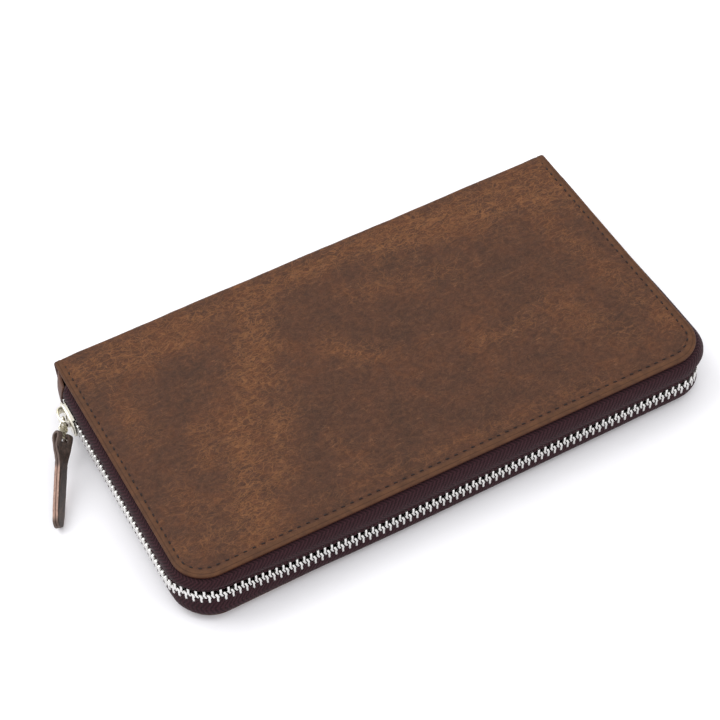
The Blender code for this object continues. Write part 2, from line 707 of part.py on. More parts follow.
axis_spine = pivot("axis_spine_fold", (0, YB, 0))
axis_cover = pivot("axis_cover_fold", (0, YB, THICK), axis_spine)
axis_slide = pivot("axis_zip_slide", (-XH - PLATE_OUT, CROWN_Y, ZM))
axis_link = pivot("axis_pull_link", LINK_AXIS, axis_slide)
axis_strap = pivot("axis_pull_strap", STRAP_AXIS, axis_link)
axis_coin = pivot("axis_coin_slide", (COIN_X0, COIN_Y, ZM), axis_spine)
axis_coin_pull = pivot("axis_coin_pull", COIN_AXIS, axis_coin)

ride([spine_leather, spine_board, spine_lining, leaf_lower, leaf_upper, leaf_binding] + tabs + coin_tapes + coin_rows,
     axis_spine)
ride(front_parts + [upper_tape, upper_row] + upper_stops, axis_cover)
ride([slider, inner_plate, post, crown], axis_slide)
ride([link, shank, bar], axis_link)
ride([strap, head, tunnel, slot], axis_strap)
ride([coin_slider, coin_crown] + [o for o in CUTTERS.objects if o.name.startswith("coin_slider_lip")], axis_coin)
ride([coin_pull, tab], axis_coin_pull)
bpy.context.view_layer.update()
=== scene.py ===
import math

import bmesh
import bpy
import numpy as np
from mathutils import Matrix, Vector, noise


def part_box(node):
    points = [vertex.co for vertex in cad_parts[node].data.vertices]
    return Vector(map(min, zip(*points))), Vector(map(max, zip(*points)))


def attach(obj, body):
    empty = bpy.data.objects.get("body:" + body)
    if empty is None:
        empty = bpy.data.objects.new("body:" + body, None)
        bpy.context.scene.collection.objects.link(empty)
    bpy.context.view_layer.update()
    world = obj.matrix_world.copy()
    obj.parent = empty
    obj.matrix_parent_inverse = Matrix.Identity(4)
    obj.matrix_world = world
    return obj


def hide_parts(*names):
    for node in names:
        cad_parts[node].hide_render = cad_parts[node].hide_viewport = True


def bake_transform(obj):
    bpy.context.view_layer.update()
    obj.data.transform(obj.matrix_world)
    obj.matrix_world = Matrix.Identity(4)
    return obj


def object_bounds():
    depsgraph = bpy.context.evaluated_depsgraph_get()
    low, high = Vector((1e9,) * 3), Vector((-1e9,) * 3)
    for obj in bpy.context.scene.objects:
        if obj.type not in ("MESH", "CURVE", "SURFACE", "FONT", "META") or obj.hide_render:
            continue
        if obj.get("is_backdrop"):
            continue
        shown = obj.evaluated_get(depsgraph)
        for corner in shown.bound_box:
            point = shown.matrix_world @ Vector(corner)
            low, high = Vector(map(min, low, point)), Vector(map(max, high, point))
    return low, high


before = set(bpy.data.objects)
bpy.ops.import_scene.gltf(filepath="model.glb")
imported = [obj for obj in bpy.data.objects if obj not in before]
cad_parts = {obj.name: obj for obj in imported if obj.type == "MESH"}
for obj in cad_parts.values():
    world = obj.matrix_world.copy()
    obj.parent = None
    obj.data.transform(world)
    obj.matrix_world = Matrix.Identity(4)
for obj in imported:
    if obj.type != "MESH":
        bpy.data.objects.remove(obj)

CAD_LO, CAD_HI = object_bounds()
MM = 0.001

# ---- camera ------------------------------------------------------------------
cam_data = bpy.data.cameras.new("camera")
cam_data.lens = 114.38
cam_data.sensor_width = 36.0
cam_data.shift_x = 0.0206
cam_data.shift_y = 0.0023
cam_data.clip_start, cam_data.clip_end = 0.01, 20.0
cam = bpy.data.objects.new("camera", cam_data)
bpy.context.scene.collection.objects.link(cam)
RIGHT = Vector((0.885138, -0.45941, -0.073986))
DOWN = Vector((-0.390785, -0.647567, -0.654174))
AHEAD = Vector((0.252623, 0.607947, -0.752716))
rot = Matrix((RIGHT, -DOWN, -AHEAD)).transposed()
cam.matrix_world = Matrix.Translation((-0.2074, -0.469793, 0.606152)) @ rot.to_4x4()
bpy.context.scene.camera = cam

# ---- the object's own measures, in millimetres ----------------------------------
XH, YF, YB, TH = 97.5, -55.25, 55.25, 21.0
ZM = TH / 2
COVER_R = 12.0
LEATHER = 1.3
BEND_R = 1.7
ZIP_END = 45.1
TOOTH_END = 43.3
PITCH = 2.5
TAPE_MID = 1.7


# ---- how the filled pouch has settled on its zip -------------------------------------
def settle(p):
    """The zipped side hangs a little: the chain dips toward the right end and the
    lower edge sits back there, easing to nothing at the spine and the slider."""
    x, y, z = p
    back = -0.5 + 2.5 * min(1.0, max(0.0, (x + 97.5) / 195.0))
    low = min(1.0, max(0.0, 1.0 - z / 21.0))
    y2 = y + back * min(1.0, max(0.0, (50.0 - y) / 105.0)) * low
    ease = smooth01(-39.0, -51.0, y) if x < 0 else smooth01(42.0, -10.0, y)
    dz = (0.7 - 2.2 * smooth01(-75.0, -20.0, x)) * ease
    band = smooth01(0.3, 5.0, z) * smooth01(20.7, 16.0, z)
    chain = smooth01(3.0, 6.0, z) * smooth01(16.5, 13.2, z)
    near_left = smooth01(-60.0, -88.0, x) * smooth01(-40.0, -52.0, y)
    near_right = smooth01(88.0, 98.0, x) * smooth01(20.0, -35.0, y)
    upper = math.exp(-((z - 16.3) / 2.3) ** 2)
    x2 = x + 1.0 * near_left * chain + near_right * (0.9 * upper - 1.7 * chain)
    x2 -= 0.8 * smooth01(88.0, 98.0, x) * smooth01(-25.0, 10.0, y) * smooth01(51.5, 45.0, y) * smooth01(1.5, 5.0, z) * smooth01(19.8, 16.5, z)
    return (x2, y2 + 0.8 * near_left * chain, z + dz * band + 1.2 * near_left * chain)


# ---- mesh helpers -----------------------------------------------------------------
def build(name, verts, faces, attrs=None, mats=(), smooth=True, sharp=40.0):
    """Mesh from millimetre points; attrs maps a name to per-vertex values."""
    mesh = bpy.data.meshes.new(name)
    mesh.from_pydata([(x * MM, y * MM, z * MM) for x, y, z in verts], [], faces)
    for key, values in (attrs or {}).items():
        arr = np.array(values, np.float32)
        if arr.ndim == 2:
            mesh.attributes.new(key, "FLOAT_VECTOR", "POINT").data.foreach_set("vector", arr.ravel())
        else:
            mesh.attributes.new(key, "FLOAT", "POINT").data.foreach_set("value", arr)
    bm = bmesh.new()
    bm.from_mesh(mesh)
    bmesh.ops.recalc_face_normals(bm, faces=bm.faces)
    bm.to_mesh(mesh)
    bm.free()
    for m in mats:
        mesh.materials.append(m)
    if smooth:
        mesh.shade_smooth()
        mesh.set_sharp_from_angle(angle=math.radians(sharp))
    ob = bpy.data.objects.new(name, mesh)
    bpy.context.scene.collection.objects.link(ob)
    return ob


class Soup:
    """Collects points (merged when they coincide) and faces."""

    def __init__(self):
        self.verts, self.faces, self.rest, self.a, self.b, self.index = [], [], [], [], [], {}

    def v(self, p, rest=(0, 0, 0), a=0.0, b=0.0, merge=True):
        key = (round(p[0], 4), round(p[1], 4), round(p[2], 4))
        if merge and key in self.index:
            return self.index[key]
        self.verts.append(tuple(p))
        self.rest.append(tuple(rest))
        self.a.append(a)
        self.b.append(b)
        if merge:
            self.index[key] = len(self.verts) - 1
        return len(self.verts) - 1

    def f(self, *ids):
        out = []
        for i in ids:
            if i not in out:
                out.append(i)
        if len(out) > 2:
            self.faces.append(tuple(out))

    def grid(self, rows, closed_u=False, closed_v=False):
        """Quads between rows of equal length."""
        n, m = len(rows), len(rows[0])
        for i in range(n if closed_u else n - 1):
            for j in range(m if closed_v else m - 1):
                self.f(rows[i][j], rows[(i + 1) % n][j], rows[(i + 1) % n][(j + 1) % m], rows[i][(j + 1) % m])

    def done(self, name, mats, **kw):
        return build(name, self.verts, self.faces, {"rest": self.rest, "inset": self.a, "scuff": self.b},
                     mats, **kw)


def smooth01(a, b, x):
    t = min(1.0, max(0.0, (x - a) / (b - a)))
    return t * t * (3 - 2 * t)


def spaced(a, b, step):
    n = max(1, int(round(abs(b - a) / step)))
    return [a + (b - a) * i / n for i in range(n + 1)]


# ---- node helpers -------------------------------------------------------------------
class Nodes:
    def __init__(self, name):
        self.mat = bpy.data.materials.new(name)
        self.mat.use_nodes = True
        self.t = self.mat.node_tree
        self.bsdf = self.t.nodes["Principled BSDF"]

    def link(self, src, sock):
        if isinstance(src, (int, float)):
            sock.default_value = src
        elif isinstance(src, (tuple, list)):
            sock.default_value = tuple(src) + ((1.0,) if len(sock.default_value) == 4 and len(src) == 3 else ())
        else:
            self.t.links.new(src, sock)

    def attr(self, name, what="Vector"):
        n = self.t.nodes.new("ShaderNodeAttribute")
        n.attribute_name = name
        return n.outputs[what]

    def obj(self):
        return self.t.nodes.new("ShaderNodeTexCoord").outputs["Object"]

    def m(self, op, a, b=0.0, c=0.0, clamp=False):
        n = self.t.nodes.new("ShaderNodeMath")
        n.operation = op
        n.use_clamp = clamp
        self.link(a, n.inputs[0])
        self.link(b, n.inputs[1])
        self.link(c, n.inputs[2])
        return n.outputs[0]

    def vm(self, op, a, b=(0, 0, 0)):
        n = self.t.nodes.new("ShaderNodeVectorMath")
        n.operation = op
        self.link(a, n.inputs[0])
        if op == "SCALE":
            self.link(b, n.inputs["Scale"])
        else:
            self.link(b, n.inputs[1])
        return n.outputs[0]

    def map(self, vec, loc=(0, 0, 0), rot=(0, 0, 0), scale=(1, 1, 1)):
        n = self.t.nodes.new("ShaderNodeMapping")
        self.link(vec, n.inputs["Vector"])
        n.inputs["Location"].default_value = loc
        n.inputs["Rotation"].default_value = rot
        n.inputs["Scale"].default_value = scale
        return n.outputs[0]

    def noise(self, vec, scale, detail=3.0, rough=0.5, dist=0.0, out="Fac"):
        n = self.t.nodes.new("ShaderNodeTexNoise")
        self.link(vec, n.inputs["Vector"])
        n.inputs["Scale"].default_value = scale
        n.inputs["Detail"].default_value = detail
        n.inputs["Roughness"].default_value = rough
        n.inputs["Distortion"].default_value = dist
        return n.outputs[out]

    def vor(self, vec, scale, feature="F1", rand=1.0):
        n = self.t.nodes.new("ShaderNodeTexVoronoi")
        n.feature = feature
        self.link(vec, n.inputs["Vector"])
        n.inputs["Scale"].default_value = scale
        n.inputs["Randomness"].default_value = rand
        return n.outputs["Distance"]

    def rng(self, v, a, b, c=0.0, d=1.0, kind="SMOOTHSTEP"):
        n = self.t.nodes.new("ShaderNodeMapRange")
        n.interpolation_type = kind
        self.link(v, n.inputs["Value"])
        for key, x in zip(("From Min", "From Max", "To Min", "To Max"), (a, b, c, d)):
            n.inputs[key].default_value = x
        return n.outputs[0]

    def mix(self, fac, a, b, kind="MIX"):
        n = self.t.nodes.new("ShaderNodeMix")
        n.data_type = "RGBA"
        n.blend_type = kind
        self.link(fac, n.inputs[0])
        self.link(a, n.inputs[6])
        self.link(b, n.inputs[7])
        return n.outputs[2]

    def ramp(self, fac, stops):
        n = self.t.nodes.new("ShaderNodeValToRGB")
        els = n.color_ramp.elements
        while len(els) < len(stops):
            els.new(0.5)
        for e, (p, col) in zip(els, stops):
            e.position = p
            e.color = (*col, 1.0)
        self.link(fac, n.inputs[0])
        return n.outputs[0]

    def sep(self, vec):
        n = self.t.nodes.new("ShaderNodeSeparateXYZ")
        self.link(vec, n.inputs[0])
        return n.outputs

    def bump(self, height, strength, dist, normal=None):
        n = self.t.nodes.new("ShaderNodeBump")
        n.inputs["Strength"].default_value = strength
        n.inputs["Distance"].default_value = dist
        self.link(height, n.inputs["Height"])
        if normal is not None:
            self.t.links.new(normal, n.inputs["Normal"])
        return n.outputs[0]

    def out(self, color=None, rough=None, normal=None, metallic=None, **fixed):
        ins = self.bsdf.inputs
        if color is not None:
            self.link(color, ins["Base Color"])
        if rough is not None:
            self.link(rough, ins["Roughness"])
        if normal is not None:
            self.t.links.new(normal, ins["Normal"])
        if metallic is not None:
            ins["Metallic"].default_value = metallic
        for k, v in fixed.items():
            ins[k.replace("_", " ")].default_value = v
        return self.mat


def srgb(r, g, b, gain=1.0):
    def lin(c):
        c /= 255.0
        return (c / 12.92 if c <= 0.04045 else ((c + 0.055) / 1.055) ** 2.4) * gain
    return (lin(r), lin(g), lin(b))


# ---- materials -------------------------------------------------------------------------
def hide_leather(name, seed=0.0, gain=1.0, worn=1.0, edge_band=1.0, fine=1.0):
    """Oily pull-up leather: cloudy browns, pale pull marks and creases, a lighter
    band outside the stitching and a creased line near the edge."""
    n = Nodes(name)

    def tint(r, g, b, k=1.0):
        lin = srgb(r, g, b, gain * k)
        return (lin[0] * 0.47, lin[1] * 0.40, lin[2] * 0.345)

    p = n.map(n.attr("rest"), loc=(seed, seed * 0.37, seed * 0.11))
    scuff = n.attr("scuff", "Fac")
    inset = n.attr("inset", "Fac")
    warp = n.vm("SCALE", n.vm("SUBTRACT", n.noise(p, 1.3, 3.0, 0.55, out="Color"), (0.5, 0.5, 0.5)), 0.55)
    pw = n.vm("ADD", p, warp)
    cloud = n.noise(pw, 0.42, 5.0, 0.62)
    mottle = n.noise(pw, 1.9, 6.0, 0.68)
    speck = n.noise(p, 13.0, 4.0, 0.7)
    tone = n.m("ADD", n.m("MULTIPLY", cloud, 0.5), n.m("MULTIPLY", mottle, 0.36))
    tone = n.m("ADD", tone, n.m("MULTIPLY", speck, 0.14))
    tone = n.m("ADD", tone, n.m("MULTIPLY", scuff, 0.085 * worn))
    base = n.ramp(tone, [
        (0.34, tint(82, 62, 53)), (0.44, tint(95, 69, 57)), (0.52, tint(103, 73, 59)),
        (0.61, tint(113, 77, 58)), (0.72, tint(128, 85, 60))])

    # pull marks: thin pale ridges in two families of directions, and short scratches
    def ridges(vec, scale, width, detail=3.0, rough=0.55):
        r = n.m("ABSOLUTE", n.m("SUBTRACT", n.noise(vec, scale, detail, rough), 0.5))
        return n.rng(r, width, 0.0)

    along = ridges(n.map(pw, rot=(0, 0, -0.22), scale=(0.30, 1.30, 1.0)), 3.6, 0.036)
    steep = ridges(n.map(pw, loc=(7.3, 1.1, 0), rot=(0, 0, 1.18), scale=(0.32, 1.2, 1.0)), 3.2, 0.034)
    cross = ridges(n.map(pw, loc=(3.1, 9.4, 2.0), rot=(0, 0, 0.6), scale=(0.6, 1.3, 1.0)), 5.2, 0.026, 4.0)
    fade = n.rng(n.noise(p, 1.1, 3.0, 0.6, out="Fac"), 0.42, 0.62)
    crack = n.rng(n.vor(n.map(pw, scale=(0.75, 1.35, 1.0)), 2.7, "DISTANCE_TO_EDGE"), 0.05, 0.0)
    lines = n.m("MAXIMUM", n.m("MULTIPLY", along, fade), n.m("MULTIPLY", cross, n.m("SUBTRACT", 1.0, fade)))
    lines = n.m("MAXIMUM", lines, n.m("MULTIPLY", steep, n.rng(n.noise(p, 0.8, 2.0, 0.5), 0.5, 0.66)))
    web = n.rng(n.vor(n.map(pw, loc=(2.2, 5.1, 0), rot=(0, 0, 0.5), scale=(0.8, 1.3, 1.0)), 5.6, "DISTANCE_TO_EDGE"), 0.075, 0.0)
    web = n.m("MULTIPLY", web, n.rng(n.noise(p, 2.1, 3.0, 0.6), 0.44, 0.58))
    lines = n.m("MAXIMUM", lines, n.m("MULTIPLY", n.m("MAXIMUM", crack, web), 0.82))
    crease = ridges(n.map(pw, loc=(11.0, 3.0, 1.0), rot=(0, 0, 0.12), scale=(0.22, 1.35, 1.0)), 2.6, 0.022, 2.0)
    crease = n.m("MULTIPLY", crease, n.rng(scuff, 0.35, 0.7))
    lines = n.m("MAXIMUM", lines, crease)
    amount = n.m("ADD", n.m("MULTIPLY", scuff, 1.15 * worn), 0.22 * worn)
    pull = n.m("MULTIPLY", lines, amount, clamp=True)
    col = n.mix(n.m("MULTIPLY", pull, 0.78, clamp=True), base, tint(172, 126, 88))
    # cloudy orange where the wax has been pushed aside
    glow = n.m("MULTIPLY", scuff, n.rng(n.noise(pw, 2.6, 5.0, 0.7), 0.40, 0.66))
    col = n.mix(n.m("MULTIPLY", glow, 0.42 * worn, clamp=True), col, tint(130, 88, 62))
    # long hairline scratches
    hair = ridges(n.map(p, loc=(1.7, 4.2, 0.5), rot=(0, 0, 0.95), scale=(0.12, 1.6, 1.0)), 4.6, 0.012, 2.0)
    hair2 = ridges(n.map(p, loc=(5.7, 0.2, 0.5), rot=(0, 0, -0.5), scale=(0.15, 1.5, 1.0)), 4.0, 0.012, 2.0)
    hairs = n.m("MULTIPLY", n.m("MAXIMUM", hair, hair2), n.rng(n.noise(p, 1.7, 2.0, 0.5), 0.52, 0.68))
    col = n.mix(n.m("MULTIPLY", hairs, 0.60, clamp=True), col, tint(166, 124, 92))
    # dark pores
    pore = n.rng(n.vor(p, 17.0), 0.22, 0.05)
    pore = n.m("MULTIPLY", pore, n.rng(n.noise(p, 3.0, 2.0, 0.5), 0.45, 0.65))
    col = n.mix(n.m("MULTIPLY", pore, 0.35, clamp=True), col, tint(58, 40, 32))
    fleck = n.rng(n.noise(p, 24.0, 5.0, 0.75), 0.3, 0.7, 0.78, 1.22, "LINEAR")
    patch = n.rng(n.noise(pw, 5.2, 6.0, 0.74), 0.3, 0.7, 0.68, 1.32, "LINEAR")
    col = n.vm("SCALE", col, n.m("MULTIPLY", fleck, patch))
    # edge band, the creased line near the edge, and the bare cut side below it
    band = n.m("MULTIPLY", n.rng(inset, 3.0, 2.3), edge_band)
    band_col = n.ramp(n.noise(pw, 3.2, 4.0, 0.6), [(0.35, tint(106, 77, 58)), (0.65, tint(132, 96, 70))])
    col = n.mix(n.m("MULTIPLY", band, 0.8, clamp=True), col, band_col)
    line = n.rng(n.m("ABSOLUTE", n.m("SUBTRACT", inset, 1.05)), 0.26, 0.06)
    line = n.m("MULTIPLY", line, edge_band)
    col = n.mix(n.m("MULTIPLY", line, 0.38, clamp=True), col, tint(66, 42, 30))
    side = n.rng(n.sep(n.attr("rest"))[2], -0.035, -0.06)
    col = n.mix(n.m("MULTIPLY", side, edge_band), col, tint(96, 56, 40))

    grain = n.m("ADD", n.m("MULTIPLY", n.vor(n.vm("ADD", p, n.vm("SCALE", warp, 0.1)), 21.0), 0.5),
                n.m("MULTIPLY", n.noise(p, 34.0, 4.0, 0.6), 0.5))
    normal = n.bump(grain, 0.30 * fine, 0.00012)
    relief = n.m("ADD", n.m("MULTIPLY", mottle, 0.8), n.m("MULTIPLY", pull, 0.8))
    relief = n.m("SUBTRACT", relief, n.m("MULTIPLY", crack, n.m("ADD", n.m("MULTIPLY", scuff, 0.7), 0.06)))
    relief = n.m("SUBTRACT", relief, n.m("MULTIPLY", hairs, 0.25))
    relief = n.m("SUBTRACT", relief, n.m("MULTIPLY", crease, 0.9))
    normal = n.bump(relief, 0.42 * fine, 0.0004, normal)
    rough = n.m("ADD", n.rng(mottle, 0.3, 0.7, 0.50, 0.62, "LINEAR"), n.m("MULTIPLY", pull, 0.1))
    return n.out(col, rough, normal, Specular_IOR_Level=0.15)


def plain_leather(name, dark, mid, light, rough=0.55, grain=18.0, spec=0.3):
    """Smooth leather with pebbled grain, cloudy tone and faint creases."""
    n = Nodes(name)
    p = n.attr("rest")
    inset = n.attr("inset", "Fac")
    warp = n.vm("SCALE", n.vm("SUBTRACT", n.noise(p, 2.0, 3.0, 0.55, out="Color"), (0.5, 0.5, 0.5)), 0.3)
    pw = n.vm("ADD", p, warp)
    tone = n.m("ADD", n.m("MULTIPLY", n.noise(pw, 1.1, 5.0, 0.62), 0.7), n.m("MULTIPLY", n.noise(p, 12.0, 4.0, 0.65), 0.3))
    col = n.ramp(tone, [(0.28, dark), (0.5, mid), (0.74, light)])
    edge = n.rng(inset, 0.9, 0.2)
    col = n.mix(n.m("MULTIPLY", edge, 0.5, clamp=True), col, light)
    cells = n.vor(pw, grain)
    line = n.rng(n.m("ABSOLUTE", n.m("SUBTRACT", n.noise(n.map(pw, scale=(0.5, 1.4, 1.0)), 4.0, 3.0, 0.55), 0.5)), 0.02, 0.0)
    normal = n.bump(n.m("ADD", n.m("MULTIPLY", cells, 0.7), n.m("MULTIPLY", n.noise(p, 40.0, 3.0, 0.6), 0.3)), 0.35, 0.00014)
    normal = n.bump(n.m("MULTIPLY", line, -1.0), 0.25, 0.00015, normal)
    return n.out(col, n.rng(tone, 0.35, 0.65, rough - 0.05, rough + 0.07, "LINEAR"), normal, Specular_IOR_Level=spec)


def twill(name, dark, light, pitch=0.095, flip=0.30, bumps=0.5, rough=0.82, stripe=0.0):
    """Herringbone twill: rest.x runs along the tape and rest.y across it, in cm."""
    n = Nodes(name)
    p = n.attr("rest")
    wob = n.vm("SCALE", n.vm("SUBTRACT", n.noise(p, 6.0, 2.0, 0.5, out="Color"), (0.5, 0.5, 0.5)), 0.012)
    x, y, _ = n.sep(n.vm("ADD", p, wob))
    tri = n.m("PINGPONG", y, flip)
    ph = n.m("MULTIPLY", n.m("ADD", x, tri), 2 * math.pi / pitch)
    rib = n.m("ADD", n.m("MULTIPLY", n.m("SINE", ph), 0.5), 0.5)
    yarn = n.m("ADD", n.m("MULTIPLY", n.m("SINE", n.m("MULTIPLY", x, 2 * math.pi / (pitch * 0.5))), 0.5), 0.5)
    weft = n.m("ADD", n.m("MULTIPLY", n.m("SINE", n.m("MULTIPLY", y, 2 * math.pi / (pitch * 0.42))), 0.5), 0.5)
    h = n.m("ADD", n.m("MULTIPLY", rib, 0.6), n.m("ADD", n.m("MULTIPLY", yarn, 0.2), n.m("MULTIPLY", weft, 0.2)))
    tone = n.m("ADD", n.m("MULTIPLY", h, 0.7), n.m("MULTIPLY", n.noise(p, 5.0, 4.0, 0.65), 0.5))
    col = n.mix(n.rng(tone, 0.25, 0.95), dark, light)
    fuzz = n.noise(n.map(p, scale=(1.0, 2.0, 1.0)), 46.0, 3.0, 0.7)
    normal = n.bump(n.m("ADD", h, n.m("MULTIPLY", fuzz, 0.35)), bumps, 0.0002)
    return n.out(col, n.rng(fuzz, 0.3, 0.7, rough - 0.06, rough + 0.08, "LINEAR"), normal,
                 Specular_IOR_Level=0.16, Sheen_Weight=0.05, Sheen_Roughness=0.45)


def thread_mat(name, dark, light):
    """Waxed twisted thread: rest.x along the stitch, rest.y round it, in cm."""
    n = Nodes(name)
    p = n.attr("rest")
    x, y, _ = n.sep(p)
    tw = n.m("SINE", n.m("ADD", n.m("MULTIPLY", x, 105.0), n.m("MULTIPLY", y, 62.0)))
    tw = n.m("ADD", n.m("MULTIPLY", tw, 0.5), 0.5)
    tone = n.m("ADD", n.m("MULTIPLY", tw, 0.6), n.m("MULTIPLY", n.noise(p, 4.0, 3.0, 0.6), 0.5))
    col = n.mix(n.rng(tone, 0.2, 0.95), dark, light)
    return n.out(col, n.rng(tw, 0.0, 1.0, 0.5, 0.66, "LINEAR"), n.bump(tw, 0.5, 0.00008), Specular_IOR_Level=0.3)


def metal(name, tone=(0.80, 0.79, 0.77), rough=0.2, worn=0.08, dark=(0.42, 0.39, 0.34)):
    """Nickel plate with polish haze, hairline scratches and a little tarnish."""
    n = Nodes(name)
    p = n.obj()
    cloudy = n.noise(p, 420.0, 4.0, 0.6)
    streak = n.noise(n.map(p, rot=(0.4, 0.2, 0.7), scale=(1.0, 1.0, 9.0)), 900.0, 3.0, 0.6)
    tarn = n.rng(n.noise(p, 700.0, 5.0, 0.7), 0.56, 0.78)
    col = n.mix(n.m("MULTIPLY", tarn, 0.45, clamp=True), tone, dark)
    r = n.m("ADD", n.rng(cloudy, 0.3, 0.7, rough - worn, rough + worn, "LINEAR"), n.m("MULTIPLY", streak, 0.08))
    normal = n.bump(n.m("ADD", n.m("MULTIPLY", streak, 0.5), n.m("MULTIPLY", cloudy, 0.5)), 0.12, 0.00005)
    return n.out(col, r, normal, metallic=1.0)


COVER = hide_leather("pull_up_leather_front", 0.0)
COVER_BACK = hide_leather("pull_up_leather_back", 23.0, worn=0.8)
INNER = plain_leather("inner_leather", srgb(72, 46, 34), srgb(92, 60, 44), srgb(116, 78, 56), 0.5)
TAB = plain_leather("tab_leather", srgb(48, 27, 20), srgb(70, 42, 31), srgb(96, 62, 46), 0.5)
TAPE = twill("zip_tape_twill", srgb(28, 11, 16), srgb(56, 30, 36), pitch=0.15, bumps=0.7)
LINING = twill("lining_twill", srgb(54, 32, 30), srgb(86, 56, 50), pitch=0.07, flip=0.45)
THREAD = thread_mat("stitch_thread", srgb(14, 6, 5), srgb(36, 17, 13))
NICKEL = metal("nickel_teeth", (0.74, 0.73, 0.71), 0.24)
POLISHED = metal("nickel_slider", (0.70, 0.67, 0.58), 0.16, 0.05)


# ---- leather sheets ----------------------------------------------------------------------
SCUFFS = [  # pull marks on the front cover: x0, y0, x1, y1, reach, strength, in mm
    (-93, 47, 95, 48, 6.0, 0.75), (25, 46, 94, 38, 9.0, 0.95), (60, 42, 96, 33, 8.0, 0.75),
    (-26, 47, -40, 12, 9.0, 0.85), (-35, 30, -60, -25, 9.0, 0.70), (-52, -2, -68, -44, 9.0, 0.85),
    (-40, -5, -55, -30, 7.0, 0.65), (-88, 42, -56, 40, 6.5, 0.75), (-84, 40, -84, 8, 5.0, 0.45),
    (-66, 0, -70, -12, 5.0, 0.75), (-12, 14, -2, 0, 5.0, 0.55), (30, -13, 52, -14, 3.2, 0.55),
    (60, -10, 76, -35, 7.0, 0.40), (80, 30, 93, -40, 5.0, 0.45), (-93, -40, -60, -49, 4.5, 0.55),
    (-50, -46, 60, -49, 2.6, 0.30), (5, 30, 40, 22, 6.0, 0.35), (-84, -20, -78, -44, 5.0, 0.40),
    (-30, -25, -24, -44, 3.0, 0.30), (88, 46, 96, 20, 4.0, 0.6)]
SCUFFS_BACK = [(-x0, y0, -x1, y1, r, s * 0.8) for x0, y0, x1, y1, r, s in SCUFFS[::2]]


def scuff_at(x, y, marks):
    best = 0.0
    for x0, y0, x1, y1, reach, strength in marks:
        dx, dy = x1 - x0, y1 - y0
        t = max(0.0, min(1.0, ((x - x0) * dx + (y - y0) * dy) / (dx * dx + dy * dy)))
        d = math.hypot(x - x0 - t * dx, y - y0 - t * dy)
        w = 1.0 + 0.5 * noise.noise(Vector((x * 0.09, y * 0.09, 3.0)))
        best = max(best, strength * math.exp(-(d / (reach * w)) ** 2))
    spine = 0.42 * math.exp(-((y - 54.0) / 3.4) ** 2)
    return min(1.0, max(best, spine))


def place_cover(x, v, h):
    """Point of the upper sheet, from x, the run v from front to spine, and height."""
    if v <= YB - BEND_R:
        return (x, v, TH + h)
    a = (v - (YB - BEND_R)) / BEND_R
    if a <= math.pi / 2:
        return (x, YB - BEND_R + (BEND_R + h) * math.sin(a), TH - BEND_R + (BEND_R + h) * math.cos(a))
    return (x, YB + h, TH - BEND_R - (v - (YB - BEND_R) - BEND_R * math.pi / 2))


def leather_sheet(name, xh, yf, v_end, radius, step, place, profile, height, mats, marks=None, v_extra=None):
    """A sheet with two rounded front corners: a ring of strips round an inner grid.
    profile lists (inset, height, top) from the inner grid's edge over the outer
    edge and back beneath."""
    s = Soup()
    vs = spaced(yf + radius, v_extra[0] if v_extra else v_end, step)
    if v_extra:
        vs += v_extra[1:]
    xs = spaced(-xh + radius, xh - radius, step)

    def put(x, v, d, h, top):
        hh = h + (height(x, v, d) if top else 0.0)
        sc = scuff_at(x, v, marks) if marks and top else 0.0
        return s.v(place(x, v, hh), (x / 10, v / 10, hh / 10), d, sc)

    rim = []
    for v in reversed(vs):
        rim.append([put(-xh + d, v, d, h, top) for d, h, top in profile])
    steps = max(5, int(radius * 1.57 / step))
    for i in range(1, steps):
        a = math.pi + (math.pi / 2) * i / steps
        rim.append([put(-xh + radius + (radius - d) * math.cos(a), yf + radius + (radius - d) * math.sin(a), d, h, top)
                    for d, h, top in profile])
    for x in xs:
        rim.append([put(x, yf + d, d, h, top) for d, h, top in profile])
    for i in range(1, steps):
        a = 1.5 * math.pi + (math.pi / 2) * i / steps
        rim.append([put(xh - radius + (radius - d) * math.cos(a), yf + radius + (radius - d) * math.sin(a), d, h, top)
                    for d, h, top in profile])
    for v in vs:
        rim.append([put(xh - d, v, d, h, top) for d, h, top in profile])
    s.grid(rim)
    d0 = profile[0][0]
    top = [[put(x, v, min(xh - abs(x), v - yf), profile[0][1], True) for x in xs] for v in vs]
    bot = [[put(x, v, d0, profile[-1][1], False) for x in xs] for v in vs]
    s.grid(top)
    s.grid(bot)
    # the back end is closed by one row of faces
    end_top = rim[0][:1] + top[-1][1:-1] + rim[-1][:1]
    end_bot = rim[0][-1:] + bot[-1][1:-1] + rim[-1][-1:]
    for i in range(len(end_top) - 1):
        s.f(end_top[i], end_top[i + 1], end_bot[i + 1], end_bot[i])
    s.faces.append(tuple(rim[0]))
    s.faces.append(tuple(reversed(rim[-1])))
    return s.done(name, mats)


EDGE_R = 0.5
RIM = [12.0, 10.6, 9.3, 8.1, 7.0, 6.1, 5.4, 4.8, 4.4, 4.1, 3.9, 3.72, 3.6, 3.5, 3.4, 3.28, 3.12, 2.98, 2.86, 2.75, 2.62, 2.48, 2.25, 1.9, 1.6, 1.35,
       1.2, 1.12, 1.05, 0.98, 0.9, 0.78, 0.64]
COVER_PROFILE = [(d, 0.0, True) for d in RIM]
for i in range(1, 6):
    a = math.pi / 2 * i / 5
    COVER_PROFILE.append((EDGE_R - EDGE_R * math.sin(a), -EDGE_R * (1 - math.cos(a)), False))
COVER_PROFILE += [(0.0, -0.8, False), (0.03, -1.0, False), (0.12, -1.17, False), (0.3, -1.28, False),
                  (0.7, -LEATHER, False), (3.0, -LEATHER, False), (7.0, -LEATHER, False), (12.0, -LEATHER, False)]


SEAM_SIDE, SEAM_FRONT = 2.75, 3.5      # the stitching runs nearer the edge along both ends


